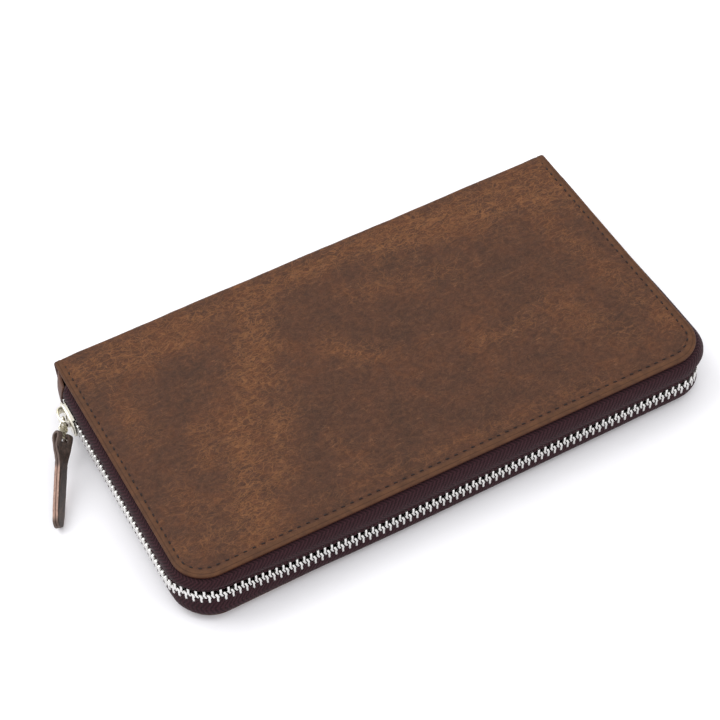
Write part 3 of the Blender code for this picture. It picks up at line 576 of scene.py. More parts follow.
def seam_inset(x, v):
    out, ahead = max(0.0, abs(x) - (XH - COVER_R)), max(0.0, YF + COVER_R - v)
    f = smooth01(0.0, math.pi / 2, math.atan2(ahead, out)) if out > 0 or ahead > 0 else (0.0 if abs(x) > XH - 8.0 else 1.0)
    return SEAM_SIDE + (SEAM_FRONT - SEAM_SIDE) * f


def cover_height(seed):
    def height(x, v, d):
        h = 0.0
        h -= 0.16 * math.exp(-((d - seam_inset(x, v)) / 0.33) ** 2)
        h -= 0.07 * math.exp(-((d - 1.05) / 0.10) ** 2)
        h += 0.05 * math.exp(-((d - 2.2) / 0.7) ** 2)
        h += 0.22 * smooth01(3.6, 9.0, d) * smooth01(YB + 1.0, YB - 12.0, v)
        h += 0.30 * math.exp(-((v - (YB - 3.0)) / 3.5) ** 2)
        q = Vector((x * 0.035 + seed, v * 0.05, 1.0))
        inside = smooth01(3.7, 8.0, d)
        h += inside * 0.22 * noise.noise(q)
        h += inside * 0.05 * noise.noise(Vector((x * 0.22 + seed, v * 0.28, 4.0)))
        if v > 38.0:
            near = smooth01(38.0, 47.0, v) * smooth01(2.0, 6.0, d)
            h += near * 0.10 * noise.noise(Vector((x * 0.16 + seed, v * 0.45, 8.0)))
        return h
    return height


BEND_RUN = BEND_R * math.pi / 2
V_BEND = [YB - BEND_R + BEND_RUN * i / 9 for i in range(10)]
V_END = YB - BEND_R + BEND_RUN + (TH - BEND_R - ZM)
V_SPINE = V_BEND + spaced(V_BEND[-1], V_END, 1.1)[1:]

front_cover = leather_sheet("front_cover_skin", XH, YF, V_END, COVER_R, 1.07, place_cover, COVER_PROFILE,
                            cover_height(0.0), [COVER], SCUFFS, V_SPINE)


def place_lower(x, v, h):
    p = place_cover(x, v, h)
    return settle((p[0], p[1], TH - p[2]))


def flat_height(seed):
    """The underside rests on the table, so its relief only goes inward."""
    top = cover_height(seed)

    def height(x, v, d):
        h = top(x, v, d)
        return min(0.0, h - 0.12 * smooth01(3.6, 9.0, d))
    return height


back_cover = leather_sheet("back_cover_skin", XH, YF, V_END, COVER_R, 1.07, place_lower, COVER_PROFILE,
                           flat_height(31.0), [COVER_BACK], SCUFFS_BACK, V_SPINE)

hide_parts("front_cover_leather", "spine_leather")
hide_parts("back_cover_leather")
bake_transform(front_cover)
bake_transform(back_cover)


# ---- stitches -----------------------------------------------------------------------------------
def u_path(inset, xh, yf, radius, y_end):
    """Length and point function of the line that runs round the sheet at an inset."""
    r = radius - inset
    side = y_end - (yf + radius)
    arc = r * math.pi / 2
    front = 2 * (xh - radius)
    total = 2 * side + 2 * arc + front

    def at(s):
        if s <= side:
            return (-xh + inset, y_end - s), (-1.0, 0.0)
        s -= side
        if s <= arc:
            a = math.pi + s / r
            nx, ny = math.cos(a), math.sin(a)
            return (-xh + radius + r * nx, yf + radius + r * ny), (nx, ny)
        s -= arc
        if s <= front:
            return (-xh + radius + s, yf + inset), (0.0, -1.0)
        s -= front
        if s <= arc:
            a = 1.5 * math.pi + s / r
            nx, ny = math.cos(a), math.sin(a)
            return (xh - radius + r * nx, yf + radius + r * ny), (nx, ny)
        s -= arc
        return (xh - inset, yf + radius + s), (1.0, 0.0)
    return total, at


def stitch_line(name, at, total, place, base_h, pitch, length, width, slant, body, mat, depth=0.55):
    s = Soup()
    count = int(total / pitch)
    off = (total - (count - 1) * pitch) / 2
    for k in range(count):
        centre = off + k * pitch
        jitter = 0.10 * noise.noise(Vector((k * 1.7, 2.0, 5.0)))
        rows = []
        for i in range(9):
            t = -1 + 2 * i / 8
            run = centre + jitter + t * length / 2
            (x, y), (nx, ny) = at(min(max(run, 0.0), total))
            side = slant * t
            lift = base_h + 0.12 * (1 - t * t) - (depth * (abs(t) - 0.72) / 0.28 if abs(t) > 0.72 else 0.0)
            r = width / 2 * (1.0 if abs(t) < 0.9 else 0.8)
            row = []
            for j in range(8):
                a = 2 * math.pi * j / 8
                o = side + r * math.cos(a)
                row.append(s.v(place(x + nx * o, y + ny * o, lift + r * 0.8 * math.sin(a)),
                               ((run) / 10, r * a / 10, 0), 5.0, 0.0, merge=False))
            rows.append(row)
        s.grid(rows, closed_v=True)
        s.faces.append(tuple(rows[0]))
        s.faces.append(tuple(reversed(rows[-1])))
    ob = s.done(name, [mat])
    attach(ob, body)
    return ob


total, plain_at = u_path(SEAM_SIDE, XH, YF, COVER_R, 52.2)


def at(s):
    (x, y), (nx, ny) = plain_at(s)
    f = smooth01(0.0, math.pi / 2, math.atan2(-ny, abs(nx))) * (SEAM_FRONT - SEAM_SIDE)
    return (x - nx * f, y - ny * f), (nx, ny)


stitches = [stitch_line("front_cover_stitches", at, total, place_cover, -0.13, 3.2, 1.6, 0.5, 0.10, "front_half", THREAD),
            stitch_line("back_cover_stitches", at, total, place_lower, -0.30, 3.2, 2.1, 0.46, 0.10, "back_half", THREAD)]


# ---- zip ------------------------------------------------------------------------------------------
def edge_station(s_run, mid, y_end):
    """Point and normal on the leather edge for a run measured along the offset line."""
    straight = y_end - (YF + COVER_R)
    arc = (COVER_R + mid) * math.pi / 2
    front = 2 * (XH - COVER_R)
    if s_run <= straight:
        return (-XH, y_end - s_run), (-1.0, 0.0)
    s_run -= straight
    if s_run <= arc:
        a = math.pi + s_run / (COVER_R + mid)
        n = (math.cos(a), math.sin(a))
        return (-XH + COVER_R + COVER_R * n[0], YF + COVER_R + COVER_R * n[1]), n
    s_run -= arc
    if s_run <= front:
        return (-XH + COVER_R + s_run, YF), (0.0, -1.0)
    s_run -= front
    if s_run <= arc:
        a = 1.5 * math.pi + s_run / (COVER_R + mid)
        n = (math.cos(a), math.sin(a))
        return (XH - COVER_R + COVER_R * n[0], YF + COVER_R + COVER_R * n[1]), n
    s_run -= arc
    return (XH, YF + COVER_R + s_run), (1.0, 0.0)


def edge_length(mid, y_end):
    return 2 * (y_end - (YF + COVER_R)) + (COVER_R + mid) * math.pi + 2 * (XH - COVER_R)


TAPE_LINE = [(-5.0, 8.62), (-2.5, 8.62), (-0.8, 8.60), (0.1, 8.52), (0.75, 8.30), (1.30, 7.86), (1.72, 7.20), (1.98, 6.40),
             (2.08, 5.55), (2.02, 4.75), (1.86, 4.10), (1.74, 3.60), (1.70, 3.10)]


def tape_section():
    """Closed outline (out, height) of the cloth with the corded edge the teeth grip."""
    left, right = [], []
    for i, p in enumerate(TAPE_LINE):
        q0, q1 = TAPE_LINE[max(i - 1, 0)], TAPE_LINE[min(i + 1, len(TAPE_LINE) - 1)]
        t = Vector((q1[0] - q0[0], q1[1] - q0[1])).normalized()
        nn = Vector((-t.y, t.x)) * 0.23
        left.append((p[0] + nn.x, p[1] + nn.y))
        right.append((p[0] - nn.x, p[1] - nn.y))
    cord = []
    for i in range(9):
        a = math.radians(55 - 290 * i / 8)
        cord.append((1.70 + 0.62 * math.cos(a), 2.35 + 0.62 * math.sin(a)))
    return left, cord, right[::-1]


def tape_piece(name, upper, body, node):
    a, b, c = tape_section()
    sec = a + b + c
    q = [0.0]
    for p0, p1 in zip(sec, sec[1:]):
        q.append(q[-1] + math.hypot(p1[0] - p0[0], p1[1] - p0[1]))
    y_end = 52.4
    total_run = edge_length(TAPE_MID, y_end)
    n = int(total_run / 1.6)
    s = Soup()
    rows = []
    for i in range(n + 1):
        run = total_run * i / n
        (x, y), (nx, ny) = edge_station(run, TAPE_MID, y_end)
        # the last few millimetres by the spine tuck in behind the end tabs
        tuck = smooth01(43.1, 46.6, y) if abs(nx) > 0.99 else 0.0
        wave = 0.07 * noise.noise(Vector((run * 0.09, 3.0 if upper else 9.0, 0.0)))
        row = []
        for (o, h), qq in zip(sec, q):
            free = smooth01(8.4, 6.5, h) * smooth01(3.2, 4.6, h)
            oo = o + wave * free
            oo = oo - tuck * (max(oo, -0.5) + 1.7)
            hh = h if h > 3.4 else h + tuck * 1.2
            z = ZM + hh if upper else ZM - hh
            row.append(s.v(settle((x + nx * oo, y + ny * oo, z)), (run / 10, qq / 10, 0), 5.0, 0.0, merge=False))
        rows.append(row)
    s.grid(rows, closed_v=True)
    s.faces.append(tuple(rows[0]))
    s.faces.append(tuple(reversed(rows[-1])))
    ob = s.done(name, [TAPE])
    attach(ob, body)
    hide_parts(node)
    return ob


upper_tape = tape_piece("upper_tape_cloth", True, "front_half", "upper_zip_tape")
lower_tape = tape_piece("lower_tape_cloth", False, "back_half", "lower_zip_tape")

TOOTH = [(-0.40, 2.95), (0.40, 2.95), (0.42, 2.2), (0.38, 1.15), (0.26, 0.72), (0.40, 0.10), (0.72, -0.62), (0.60, -0.92),
         (0.10, -0.95), (-0.22, -0.66), (-0.46, 0.05), (-0.70, 0.66), (-0.44, 1.10), (-0.42, 2.2)]


def tooth_strip(name, upper, phase, body, node, mat):
    """Stamped teeth clamped on the corded edge, their heads meshing with the other row."""
    total_run = edge_length(TAPE_MID, TOOTH_END)
    count = int((total_run - 1.2) / PITCH)
    start = (total_run - (count - 1) * PITCH) / 2 + phase * PITCH
    s = Soup()
    layers = [(0.78, 0.80), (0.66, 1.0), (0.0, 1.0), (-0.62, 1.0), (-0.80, 0.96), (-0.92, 0.84), (-0.97, 0.62)]
    for k in range(count):
        run = start + k * PITCH
        if run - 0.6 < 0.2 or run + 0.6 > total_run - 0.2:
            continue
        rows = []
        for depth, shrink in layers:
            row = []
            cx, ch = 0.0, 1.18
            for ds, h in TOOTH:
                w = shrink if shrink < 1.0 else 1.0
                # pulled in by a fixed width at the rounded faces
                inset = (1.0 - w) * 0.62
                dx, dh = ds - cx * 0, h - ch
                ds2 = ds - math.copysign(min(abs(ds), inset), ds)
                h2 = h - math.copysign(min(abs(dh), inset), dh)
                o = 1.78 - depth * 1.24
                if h < 0.8:
                    o -= 0.10 * smooth01(0.8, -0.6, h) * (1 if depth < 0 else -1)
                sign = 1 if upper else -1
                (x, y), (nx, ny) = edge_station(run + ds2 * sign, TAPE_MID, TOOTH_END)
                row.append(s.v(settle((x + nx * o, y + ny * o, ZM + sign * h2)), (run, o, h2), 5.0, 0.0, merge=False))
            rows.append(row)
        s.grid(rows, closed_v=True)
        s.faces.append(tuple(rows[0]))
        s.faces.append(tuple(reversed(rows[-1])))
    ob = s.done(name, [mat], sharp=50.0)
    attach(ob, body)
    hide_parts(node)
    return ob


upper_teeth = tooth_strip("upper_teeth_chain", True, 0.25, "front_half", "upper_zip_teeth", NICKEL)
lower_teeth = tooth_strip("lower_teeth_chain", False, -0.25, "back_half", "lower_zip_teeth", NICKEL)


def rounded_box(name, lo, hi, r, mat, body, node=None, segments=3):
    mesh = bpy.data.meshes.new(name)
    bm = bmesh.new()
    bmesh.ops.create_cube(bm, size=1.0)
    lo, hi = Vector(lo), Vector(hi)
    for v in bm.verts:
        v.co = Vector([(lo[i] + hi[i]) / 2 + v.co[i] * (hi[i] - lo[i]) for i in range(3)]) * MM
    bmesh.ops.bevel(bm, geom=list(bm.edges), offset=r * MM, segments=segments, profile=0.5, affect="EDGES")
    bm.to_mesh(mesh)
    bm.free()
    co = np.array([tuple(v.co) for v in mesh.vertices], np.float32) * 100
    mesh.attributes.new("rest", "FLOAT_VECTOR", "POINT").data.foreach_set("vector", co.ravel())
    mesh.attributes.new("inset", "FLOAT", "POINT").data.foreach_set("value", np.full(len(co), 5.0, np.float32))
    mesh.materials.append(mat)
    mesh.shade_smooth()
    mesh.set_sharp_from_angle(angle=math.radians(50))
    ob = bpy.data.objects.new(name, mesh)
    bpy.context.scene.collection.objects.link(ob)
    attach(ob, body)
    if node:
        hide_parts(node)
    return ob


def node_box(node, pad=0.0):
    lo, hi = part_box(node)
    return Vector(lo) / MM - Vector((pad,) * 3), Vector(hi) / MM + Vector((pad,) * 3)


for node, body in (("lower_top_stop", "back_half"), ("lower_bottom_stop", "back_half"),
                   ("upper_top_stop", "front_half"), ("upper_bottom_stop", "front_half")):
    lo, hi = node_box(node)
    rounded_box(node + "_bar", lo, hi, 0.35, NICKEL, body, node)

# ---- end tabs ----------------------------------------------------------------------------------------
def end_tab(side, node):
    """Leather tab over the zip's end: it starts inside the spine and stands out over the tape ends."""
    s = Soup()
    rows = []
    ys = spaced(53.5, 44.4, 0.6)
    hs = spaced(-1.0, 1.0, 0.1)
    for layer in (0, 1):
        rows_l = []
        for i, y in enumerate(ys):
            t = i / (len(ys) - 1)
            out = -0.95 + 2.5 * t ** 0.6
            top = 8.7 - 1.6 * smooth01(0.1, 1.0, t)
            row = []
            for w in hs:
                h = w * top
                bulge = 1.5 * (1 - w * w) * (0.35 + 0.65 * smooth01(0.0, 0.35, t)) - 0.2 * w ** 6
                o = out + bulge - (1.0 if layer else 0.0)
                round_y = 0.5 * smooth01(0.75, 1.0, abs(w)) * t
                o -= 0.7 if side > 0 else 0.0
                row.append((side * (XH + o), y + round_y, ZM + h, y, h, w))
            rows_l.append(row)
        rows.append(rows_l)
    ids = []
    for layer, rows_l in enumerate(rows):
        grid = [[s.v(p[:3], (p[3] / 10, p[4] / 10, layer * 0.1), 4.0 * (1 - abs(p[5])), 0.0, merge=False) for p in row]
                for row in rows_l]
        s.grid(grid)
        ids.append(grid)
    a, b = ids
    n, m = len(a), len(a[0])
    for i in range(n - 1):
        s.f(a[i][0], b[i][0], b[i + 1][0], a[i + 1][0])
        s.f(a[i][m - 1], a[i + 1][m - 1], b[i + 1][m - 1], b[i][m - 1])
    for j in range(m - 1):
        s.f(a[0][j], a[0][j + 1], b[0][j + 1], b[0][j])
        s.f(a[n - 1][j], b[n - 1][j], b[n - 1][j + 1], a[n - 1][j + 1])
    ob = s.done(node + "_leather", [TAB])
    mod = ob.modifiers.new("soft_edge", "BEVEL")
    mod.width, mod.segments, mod.limit_method, mod.angle_limit = 0.25 * MM, 2, "ANGLE", math.radians(60)
    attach(ob, "spine")
    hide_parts(node)
    return ob


tabs = [end_tab(-1, "end_tab_left"), end_tab(1, "end_tab_right")]

# ---- inside ------------------------------------------------------------------------------------------
THIN = [(4.0, 0.0, True), (2.6, 0.0, True), (1.7, 0.0, True), (1.1, 0.0, True), (0.6, 0.0, True), (0.3, 0.0, True)]


def thin_profile(t):
    r = t / 2
    out = [(d, 0.0, True) for d in (4.0, 2.6, 1.9, 1.5, 1.2, 0.95, 0.7, 0.45, 0.3)]
    for i in range(1, 6):
        a = math.pi * i / 6
        out.append((0.22 - 0.22 * math.sin(a), -r + r * math.cos(a), False))
    return out + [(0.3, -t, False), (1.2, -t, False), (4.0, -t, False)]


def thin_sheet(node, body, mat, up, crease=True, xh_in=0.0, amp=0.10):
    """A soft sheet in place of its node; up is +1 where the seen face is the top."""
    lo, hi = node_box(node)
    xh, t = (hi.x - lo.x) / 2 - xh_in, hi.z - lo.z
    face = hi.z if up > 0 else lo.z

    def place(x, v, h):
        return (x, v, face + up * h)

    seed = sum(ord(c) for c in node) * 0.37

    def height(x, v, d):
        h = amp * noise.noise(Vector((x * 0.05 + seed, v * 0.07, 2.0))) * smooth01(0.5, 6.0, d) - amp * 0.5 * smooth01(0.5, 6.0, d)
        if crease:
            h -= 0.07 * math.exp(-((d - 1.35) / 0.22) ** 2)
        return h

    ob = leather_sheet(node + "_sheet", xh, lo.y, hi.y, 4.0, 2.6, place, thin_profile(t), height, [mat])
    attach(ob, body)
    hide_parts(node)
    return ob


def shaped_sheet(node, body, mat, up, inset, step=3.0):
    """Lining or board cut to the cover's outline."""
    lo, hi = node_box(node)
    t = hi.z - lo.z
    face = hi.z if up > 0 else lo.z

    def place(x, v, h):
        return (x, v, face + up * h)

    seed = sum(ord(c) for c in node) * 0.23

    def height(x, v, d):
        return 0.09 * (noise.noise(Vector((x * 0.06 + seed, v * 0.06, 2.0))) - 0.5) * smooth01(0.5, 6.0, d)

    ob = leather_sheet(node + "_sheet", XH - inset, lo.y, hi.y, COVER_R - inset, step, place,
                       [(min(d, COVER_R - inset), h, top) for d, h, top in thin_profile(t)], height, [mat])
    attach(ob, body)
    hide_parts(node)
    return ob


def board_mat():
    """Grey-brown pressed fibre board."""
    n = Nodes("fibre_board")
    p = n.attr("rest")
    fibre = n.noise(n.map(p, scale=(1.0, 3.0, 1.0)), 9.0, 6.0, 0.75)
    speck = n.rng(n.vor(p, 12.0), 0.25, 0.05)
    col = n.ramp(fibre, [(0.32, srgb(104, 88, 68)), (0.5, srgb(134, 114, 88)), (0.68, srgb(158, 138, 110))])
    col = n.mix(n.m("MULTIPLY", speck, 0.4, clamp=True), col, srgb(80, 64, 48))
    return n.out(col, n.rng(fibre, 0.3, 0.7, 0.78, 0.92, "LINEAR"), n.bump(fibre, 0.5, 0.0002), Specular_IOR_Level=0.2)


BOARD = board_mat()
for tag, body, up in (("back", "back_half", 1), ("front", "front_half", -1)):
    shaped_sheet(tag + "_stiffener_board", body, BOARD, up, 6.0)
    shaped_sheet(tag + "_lining", body, LINING, up, 4.0)
    thin_sheet(tag + "_bill_pocket_panel", body, INNER, up)
    tops = []
    for k in (1, 2, 3):
        thin_sheet("%s_card_strip_%d" % (tag, k), body, INNER, up)
        lo, hi = node_box("%s_card_strip_%d" % (tag, k))
        tops.append((lo.y, hi.z if up > 0 else lo.z))

    def on_strips(x, v, h, tops=tops, up=up):
        z = tops[0][1]
        for y0, zz in tops:
            if v > y0 - 0.2:
                z = zz
        return (x, v, z + up * h)

    for name, x in (("left", -86.4), ("middle", 0.0), ("right", 86.4)):
        y0, y1 = tops[0][0] + 1.6, 44.6

        def straight(s, x=x, y0=y0):
            return (x, y0 + s), (1.0, 0.0)
        stitch_line("%s_card_stitches_%s" % (tag, name), straight, y1 - y0, on_strips, 0.0, 3.0, 2.0, 0.36, 0.05, body, THREAD, 0.3)

# spine lining and board stand upright behind the coin pocket
for node, mat, slot, grow in (("spine_lining", LINING, "lining", -1.0), ("spine_board", BOARD, "board", 0.8)):
    lo, hi = node_box(node)
    lo.z, hi.z = lo.z + grow, hi.z - grow
    s = Soup()
    rows_a, rows_b = [], []
    for x in spaced(lo.x, hi.x, 2.5):
        ra, rb = [], []
        for z in spaced(lo.z, hi.z, 1.2):
            e = min(z - lo.z, hi.z - z, x - lo.x, hi.x - x)
            wav = 0.07 * (noise.noise(Vector((x * 0.07, z * 0.15, 6.0))) - 0.4) * smooth01(0.0, 2.0, e)
            ra.append(s.v((x, lo.y - min(0.0, wav) * 0.0 + max(0.0, wav) + 0.04 * (1 - smooth01(0.0, 0.6, e)), z),
                          (x / 10, z / 10, 0), e, 0.0, merge=False))
            rb.append(s.v((x, hi.y, z), (x / 10, z / 10, 0.05), e, 0.0, merge=False))
        rows_a.append(ra)
        rows_b.append(rb)
    s.grid(rows_a)
    s.grid(rows_b)
    for i in range(len(rows_a) - 1):
        for j in (0, -1):
            s.f(rows_a[i][j], rows_a[i + 1][j], rows_b[i + 1][j], rows_b[i][j])
    for i in (0, -1):
        for j in range(len(rows_a[0]) - 1):
            s.f(rows_a[i][j], rows_a[i][j + 1], rows_b[i][j + 1], rows_b[i][j])
    ob = s.done(node + "_sheet", [mat])
    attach(ob, "spine")
    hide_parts(node)

# coin pocket
thin_sheet("coin_pocket_wall_upper", "spine", INNER, 1, amp=0.12)
thin_sheet("coin_pocket_wall_lower", "spine", INNER, -1, amp=0.12)
for node, up in (("coin_pocket_wall_upper", 1), ("coin_pocket_wall_lower", -1)):
    lo, hi = node_box(node)
    face = hi.z if up > 0 else lo.z
    length = hi.x - lo.x

    def along_zip(s, y=lo.y + 1.5, x0=lo.x + 1.5):
        return (x0 + s, y), (0.0, -1.0)

    def on_wall(x, v, h, face=face, up=up):
        return (x, v, face + up * h)
    stitch_line(node + "_stitches", along_zip, length - 3.0, on_wall, 0.0, 2.8, 1.9, 0.34, 0.04, "spine", THREAD, 0.25)
    for side_name, x in (("left", -86.6), ("right", 86.6)):
        def up_side(s, x=x, y0=lo.y + 3.0):
            return (x, y0 + s), (1.0, 0.0)
        stitch_line("%s_stitches_%s" % (node, side_name), up_side, hi.y - lo.y - 4.5, on_wall, 0.0, 2.8, 1.9, 0.34, 0.04,
                    "spine", THREAD, 0.25)

for node in ("coin_zip_tape_lower", "coin_zip_tape_upper"):
    lo, hi = node_box(node)
    s = Soup()
    low, high = [], []
    for x in spaced(lo.x, hi.x, 1.5):
        a, b = [], []
        for y in spaced(lo.y, hi.y, 0.8):
            wav = 0.03 * noise.noise(Vector((x * 0.3, y * 0.5, lo.z)))
            a.append(s.v((x, y, lo.z + 0.03 + wav), (x / 10, y / 10, 0), 5.0, 0.0, merge=False))
            b.append(s.v((x, y, hi.z - 0.03 + wav), (x / 10, y / 10, 0), 5.0, 0.0, merge=False))
        low.append(a)
        high.append(b)
    s.grid(low)
    s.grid(high)
    for i in range(len(low) - 1):
        for j in (0, -1):
            s.f(low[i][j], low[i + 1][j], high[i + 1][j], high[i][j])
    for i in (0, -1):
        for j in range(len(low[0]) - 1):
            s.f(low[i][j], low[i][j + 1], high[i][j + 1], high[i][j])
    ob = s.done(node + "_cloth", [TAPE])
    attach(ob, "spine")
    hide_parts(node)

node = "coin_pocket_binding"
s = Soup()
lo, hi = node_box(node)
w = 1.2
path = [(lo.x + w / 2, y) for y in spaced(lo.y, hi.y - w / 2, 2.0)]
path += [(x, hi.y - w / 2) for x in spaced(lo.x + w / 2, hi.x - w / 2, 2.0)[1:]]
path += [(hi.x - w / 2, y) for y in spaced(hi.y - w / 2, lo.y, 2.0)[1:]]
rows = []
run = 0.0
for i, (x, y) in enumerate(path):
    a, b = path[max(i - 1, 0)], path[min(i + 1, len(path) - 1)]
    if i:
        run += math.hypot(x - path[i - 1][0], y - path[i - 1][1])
    tx, ty = Vector((b[0] - a[0], b[1] - a[1])).normalized()
    k = 1.41 if abs(tx) > 0.1 and abs(ty) > 0.1 else 1.0
    row = []
    for o, h in ((-0.5, -1.0), (0.5, -1.0), (0.95, -0.6), (1.0, 0.0), (0.95, 0.6), (0.5, 1.0), (-0.5, 1.0), (-0.95, 0.6),
                 (-1.0, 0.0), (-0.95, -0.6)):
        row.append(s.v((x - ty * o * w / 2 * k, y + tx * o * w / 2 * k, (lo.z + hi.z) / 2 + h * (hi.z - lo.z) / 2),
                       (run / 10, (o + h) / 20, 0), 5.0, 0.0, merge=False))
    rows.append(row)
s.grid(rows, closed_v=True)
s.faces.append(tuple(rows[0]))
s.faces.append(tuple(reversed(rows[-1])))
ob = s.done("coin_binding_tape", [TAPE])
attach(ob, "spine")
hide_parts(node)

# coin zip teeth: short bars with rounded ends on a corded edge
for node, sign, phase in (("coin_zip_teeth_lower", -1, -0.25), ("coin_zip_teeth_upper", 1, 0.25)):
    lo, hi = node_box(node)
    s = Soup()
    pitch = 2.0
    count = int((hi.x - lo.x - 1.0) / pitch)
    first = -(count - 1) * pitch / 2 + phase * pitch
    zi = lo.z if sign > 0 else hi.z
    for k in range(count):
        c = first + k * pitch
        if c - 0.6 < lo.x or c + 0.6 > hi.x:
            continue
        rows = []
        for y, g in ((lo.y, 0.30), (lo.y + 0.06, 0.12), (lo.y + 0.22, 0.0), (hi.y - 0.2, 0.0), (hi.y, 0.15)):
            row = []
            for dx, h in ((-0.42, 1.2), (0.42, 1.2), (0.42, 0.55), (0.60, 0.05), (0.48, -0.12), (0.0, -0.14), (-0.30, 0.0),
                          (-0.55, 0.5), (-0.42, 0.62)):
                gx = dx - math.copysign(min(abs(dx), g), dx)
                gh = h - (h - 0.55) * g * 0.5
                row.append(s.v((c + gx * sign, y, zi + sign * max(gh, -0.14)), (c / 10, y / 10, 0), 5.0, 0.0, merge=False))
            rows.append(row)
        s.grid(rows, closed_v=True)
        s.faces.append(tuple(rows[0]))
        s.faces.append(tuple(reversed(rows[-1])))
    # the cord the teeth grip
    rows = []
    for x in spaced(lo.x, hi.x, 2.0):
        rows.append([s.v((x, hi.y - 0.55 + 0.36 * math.cos(a * math.pi / 4), zi + sign * 0.62 + 0.36 * math.sin(a * math.pi / 4)),
                         (x / 10, a * 0.03, 0), 5.0, 0.0, merge=False) for a in range(8)])
    s.grid(rows, closed_v=True)
    s.faces.append(tuple(rows[0]))
    s.faces.append(tuple(reversed(rows[-1])))
    ob = s.done(node + "_row", [NICKEL], sharp=50.0)
    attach(ob, "spine")
    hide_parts(node)

# ---- slider ------------------------------------------------------------------------------------------
SL_Y0, SL_Y1, SL_H = 31.0, 42.9, 4.7
CROWN_Y, CROWN_HALF = 38.5, 3.6


def shield(grow=0.0):
    """Outline (y, height) of a slider plate: broad shoulders at the crown end."""
    h, n = SL_H + grow, SL_H * 0.78 + grow
    y0, y1 = SL_Y0 - grow, SL_Y1 + grow
    half = [(y1, 0.0), (y1, h * 0.35), (y1 - 0.15, h * 0.62), (y1 - 0.6, h * 0.85), (y1 - 1.5, h * 0.97), (y1 - 2.6, h),
            (y1 - 4.5, h * 0.985), (y0 + 5.2, h * 0.94), (y0 + 3.2, h * 0.88), (y0 + 1.6, n * 1.0), (y0 + 0.7, n * 0.9),
            (y0 + 0.15, n * 0.7), (y0, n * 0.4), (y0, 0.0)]
    return half + [(y, -hh) for y, hh in half[-2:0:-1]]


def slider_piece():
    s = Soup()

    def plate(offsets, dome):
        rows = []
        for off, shrink, lift in offsets:
            row = []
            for y, h in shield(-shrink):
                row.append(s.v((-XH - off, y, ZM + h), (y / 10, h / 10, 0), 5.0, 0.0, merge=False))
            rows.append(row)
        s.grid(rows, closed_v=True)
        for row, off in ((rows[0], offsets[0][0]), (rows[-1], offsets[-1][0])):
            c = s.v((-XH - off - (dome if row is rows[-1] else 0.0), 37.1, ZM), (3.7, 0, 0), 5.0, 0.0, merge=False)
            mid = [s.v(tuple((Vector(s.verts[i]) * 0.5 + Vector((-XH - off - (dome * 0.75 if row is rows[-1] else 0.0), 37.1, ZM)) * 0.5)),
                       (3, 0, 0), 5.0, 0.0, merge=False) for i in row]
            s.grid([row, mid], closed_v=True)
            for i in range(len(mid)):
                s.f(mid[i], mid[(i + 1) % len(mid)], c)

    plate([(3.30, 0.15, 0), (3.42, 0.02, 0), (3.75, 0.0, 0), (3.98, 0.10, 0), (4.10, 0.30, 0), (4.13, 0.6, 0)], 0.10)
    plate([(0.30, 0.15, 0), (0.18, 0.02, 0), (-0.2, 0.0, 0), (-0.38, 0.10, 0), (-0.50, 0.35, 0)], 0.0)
    # lips that guide the tapes, along both long edges of each plate
    for sign in (-1, 1):
        for o0, o1 in ((2.45, 3.5), (0.1, 1.05)):
            rows = []
            ys = spaced(SL_Y0 + 1.4, SL_Y1 - 2.4, 1.0)
            for y in ys:
                t = (y - SL_Y0) / (SL_Y1 - SL_Y0)
                hh = SL_H * (0.86 + 0.14 * smooth01(0.0, 0.75, t))
                sec = [(o0, hh - 0.55), (o0, hh - 0.15), (o0 + 0.15, hh), (o1, hh), (o1, hh - 0.7), (o0 + 0.15, hh - 0.7)]
                rows.append([s.v((-XH - o, y, ZM + sign * h), (y / 10, h / 10, 0), 5.0, 0.0, merge=False) for o, h in sec])
            s.grid(rows, closed_v=True)
            s.faces.append(tuple(rows[0]))
            s.faces.append(tuple(reversed(rows[-1])))
    # diamond post between the plates
    rows = []
    for o in (0.2, 1.2, 2.4, 3.4):
        rows.append([s.v((-XH - o, y, ZM + h), (y / 10, h / 10, 0), 5.0, 0.0, merge=False)
                     for y, h in ((42.4, 0.0), (41.9, 0.36), (40.7, 0.3), (40.2, 0.0), (40.7, -0.3), (41.9, -0.36))])
    s.grid(rows, closed_v=True)
    s.faces.append(tuple(rows[0]))
    s.faces.append(tuple(reversed(rows[-1])))
    # crown: a flat rounded band arched over the outer plate
    rows = []
    for i in range(25):
        a = math.pi * i / 24
        sn, cs = math.sin(a), math.cos(a)
        rise = 4.0 + 2.35 * sn ** 0.62
        y = CROWN_Y + CROWN_HALF * cs
        ny, no = cs * 0.75, max(sn, 0.05)
        ln = math.hypot(ny, no)
        ny, no = ny / ln, no / ln
        wide = 1.45 + 0.25 * abs(cs) ** 2
        row = []
        for j in range(12):
            b = 2 * math.pi * j / 12
            cw = math.copysign(abs(math.cos(b)) ** 0.7, math.cos(b)) * wide
            ct = math.copysign(abs(math.sin(b)) ** 0.7, math.sin(b)) * 0.46
            row.append(s.v((-XH - rise - no * ct, y + ny * ct, ZM + 0.6 + cw), (y / 10, cw / 10, 0), 5.0, 0.0, merge=False))
        rows.append(row)
    s.grid(rows, closed_v=True)
    s.faces.append(tuple(rows[0]))
    s.faces.append(tuple(reversed(rows[-1])))
    ob = s.done("zip_slider_shell", [POLISHED], sharp=38.0)
    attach(ob, "zip_slider")
    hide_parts("zip_slider_body")
    return ob


slider = slider_piece()

# ---- pull ----------------------------------------------------------------------------------------------
YAW, DROOP, ROLL = math.radians(27.4), math.radians(11.2), math.radians(15.0)


def pull_frame(roll):
    d = Vector((-math.sin(YAW) * math.cos(DROOP), -math.cos(YAW) * math.cos(DROOP), -math.sin(DROOP)))
    side = Vector((0, 0, 1)).cross(d).normalized()
    up = d.cross(side).normalized()
    spin = Matrix.Rotation(roll, 3, d)
    return d, spin @ side, spin @ up


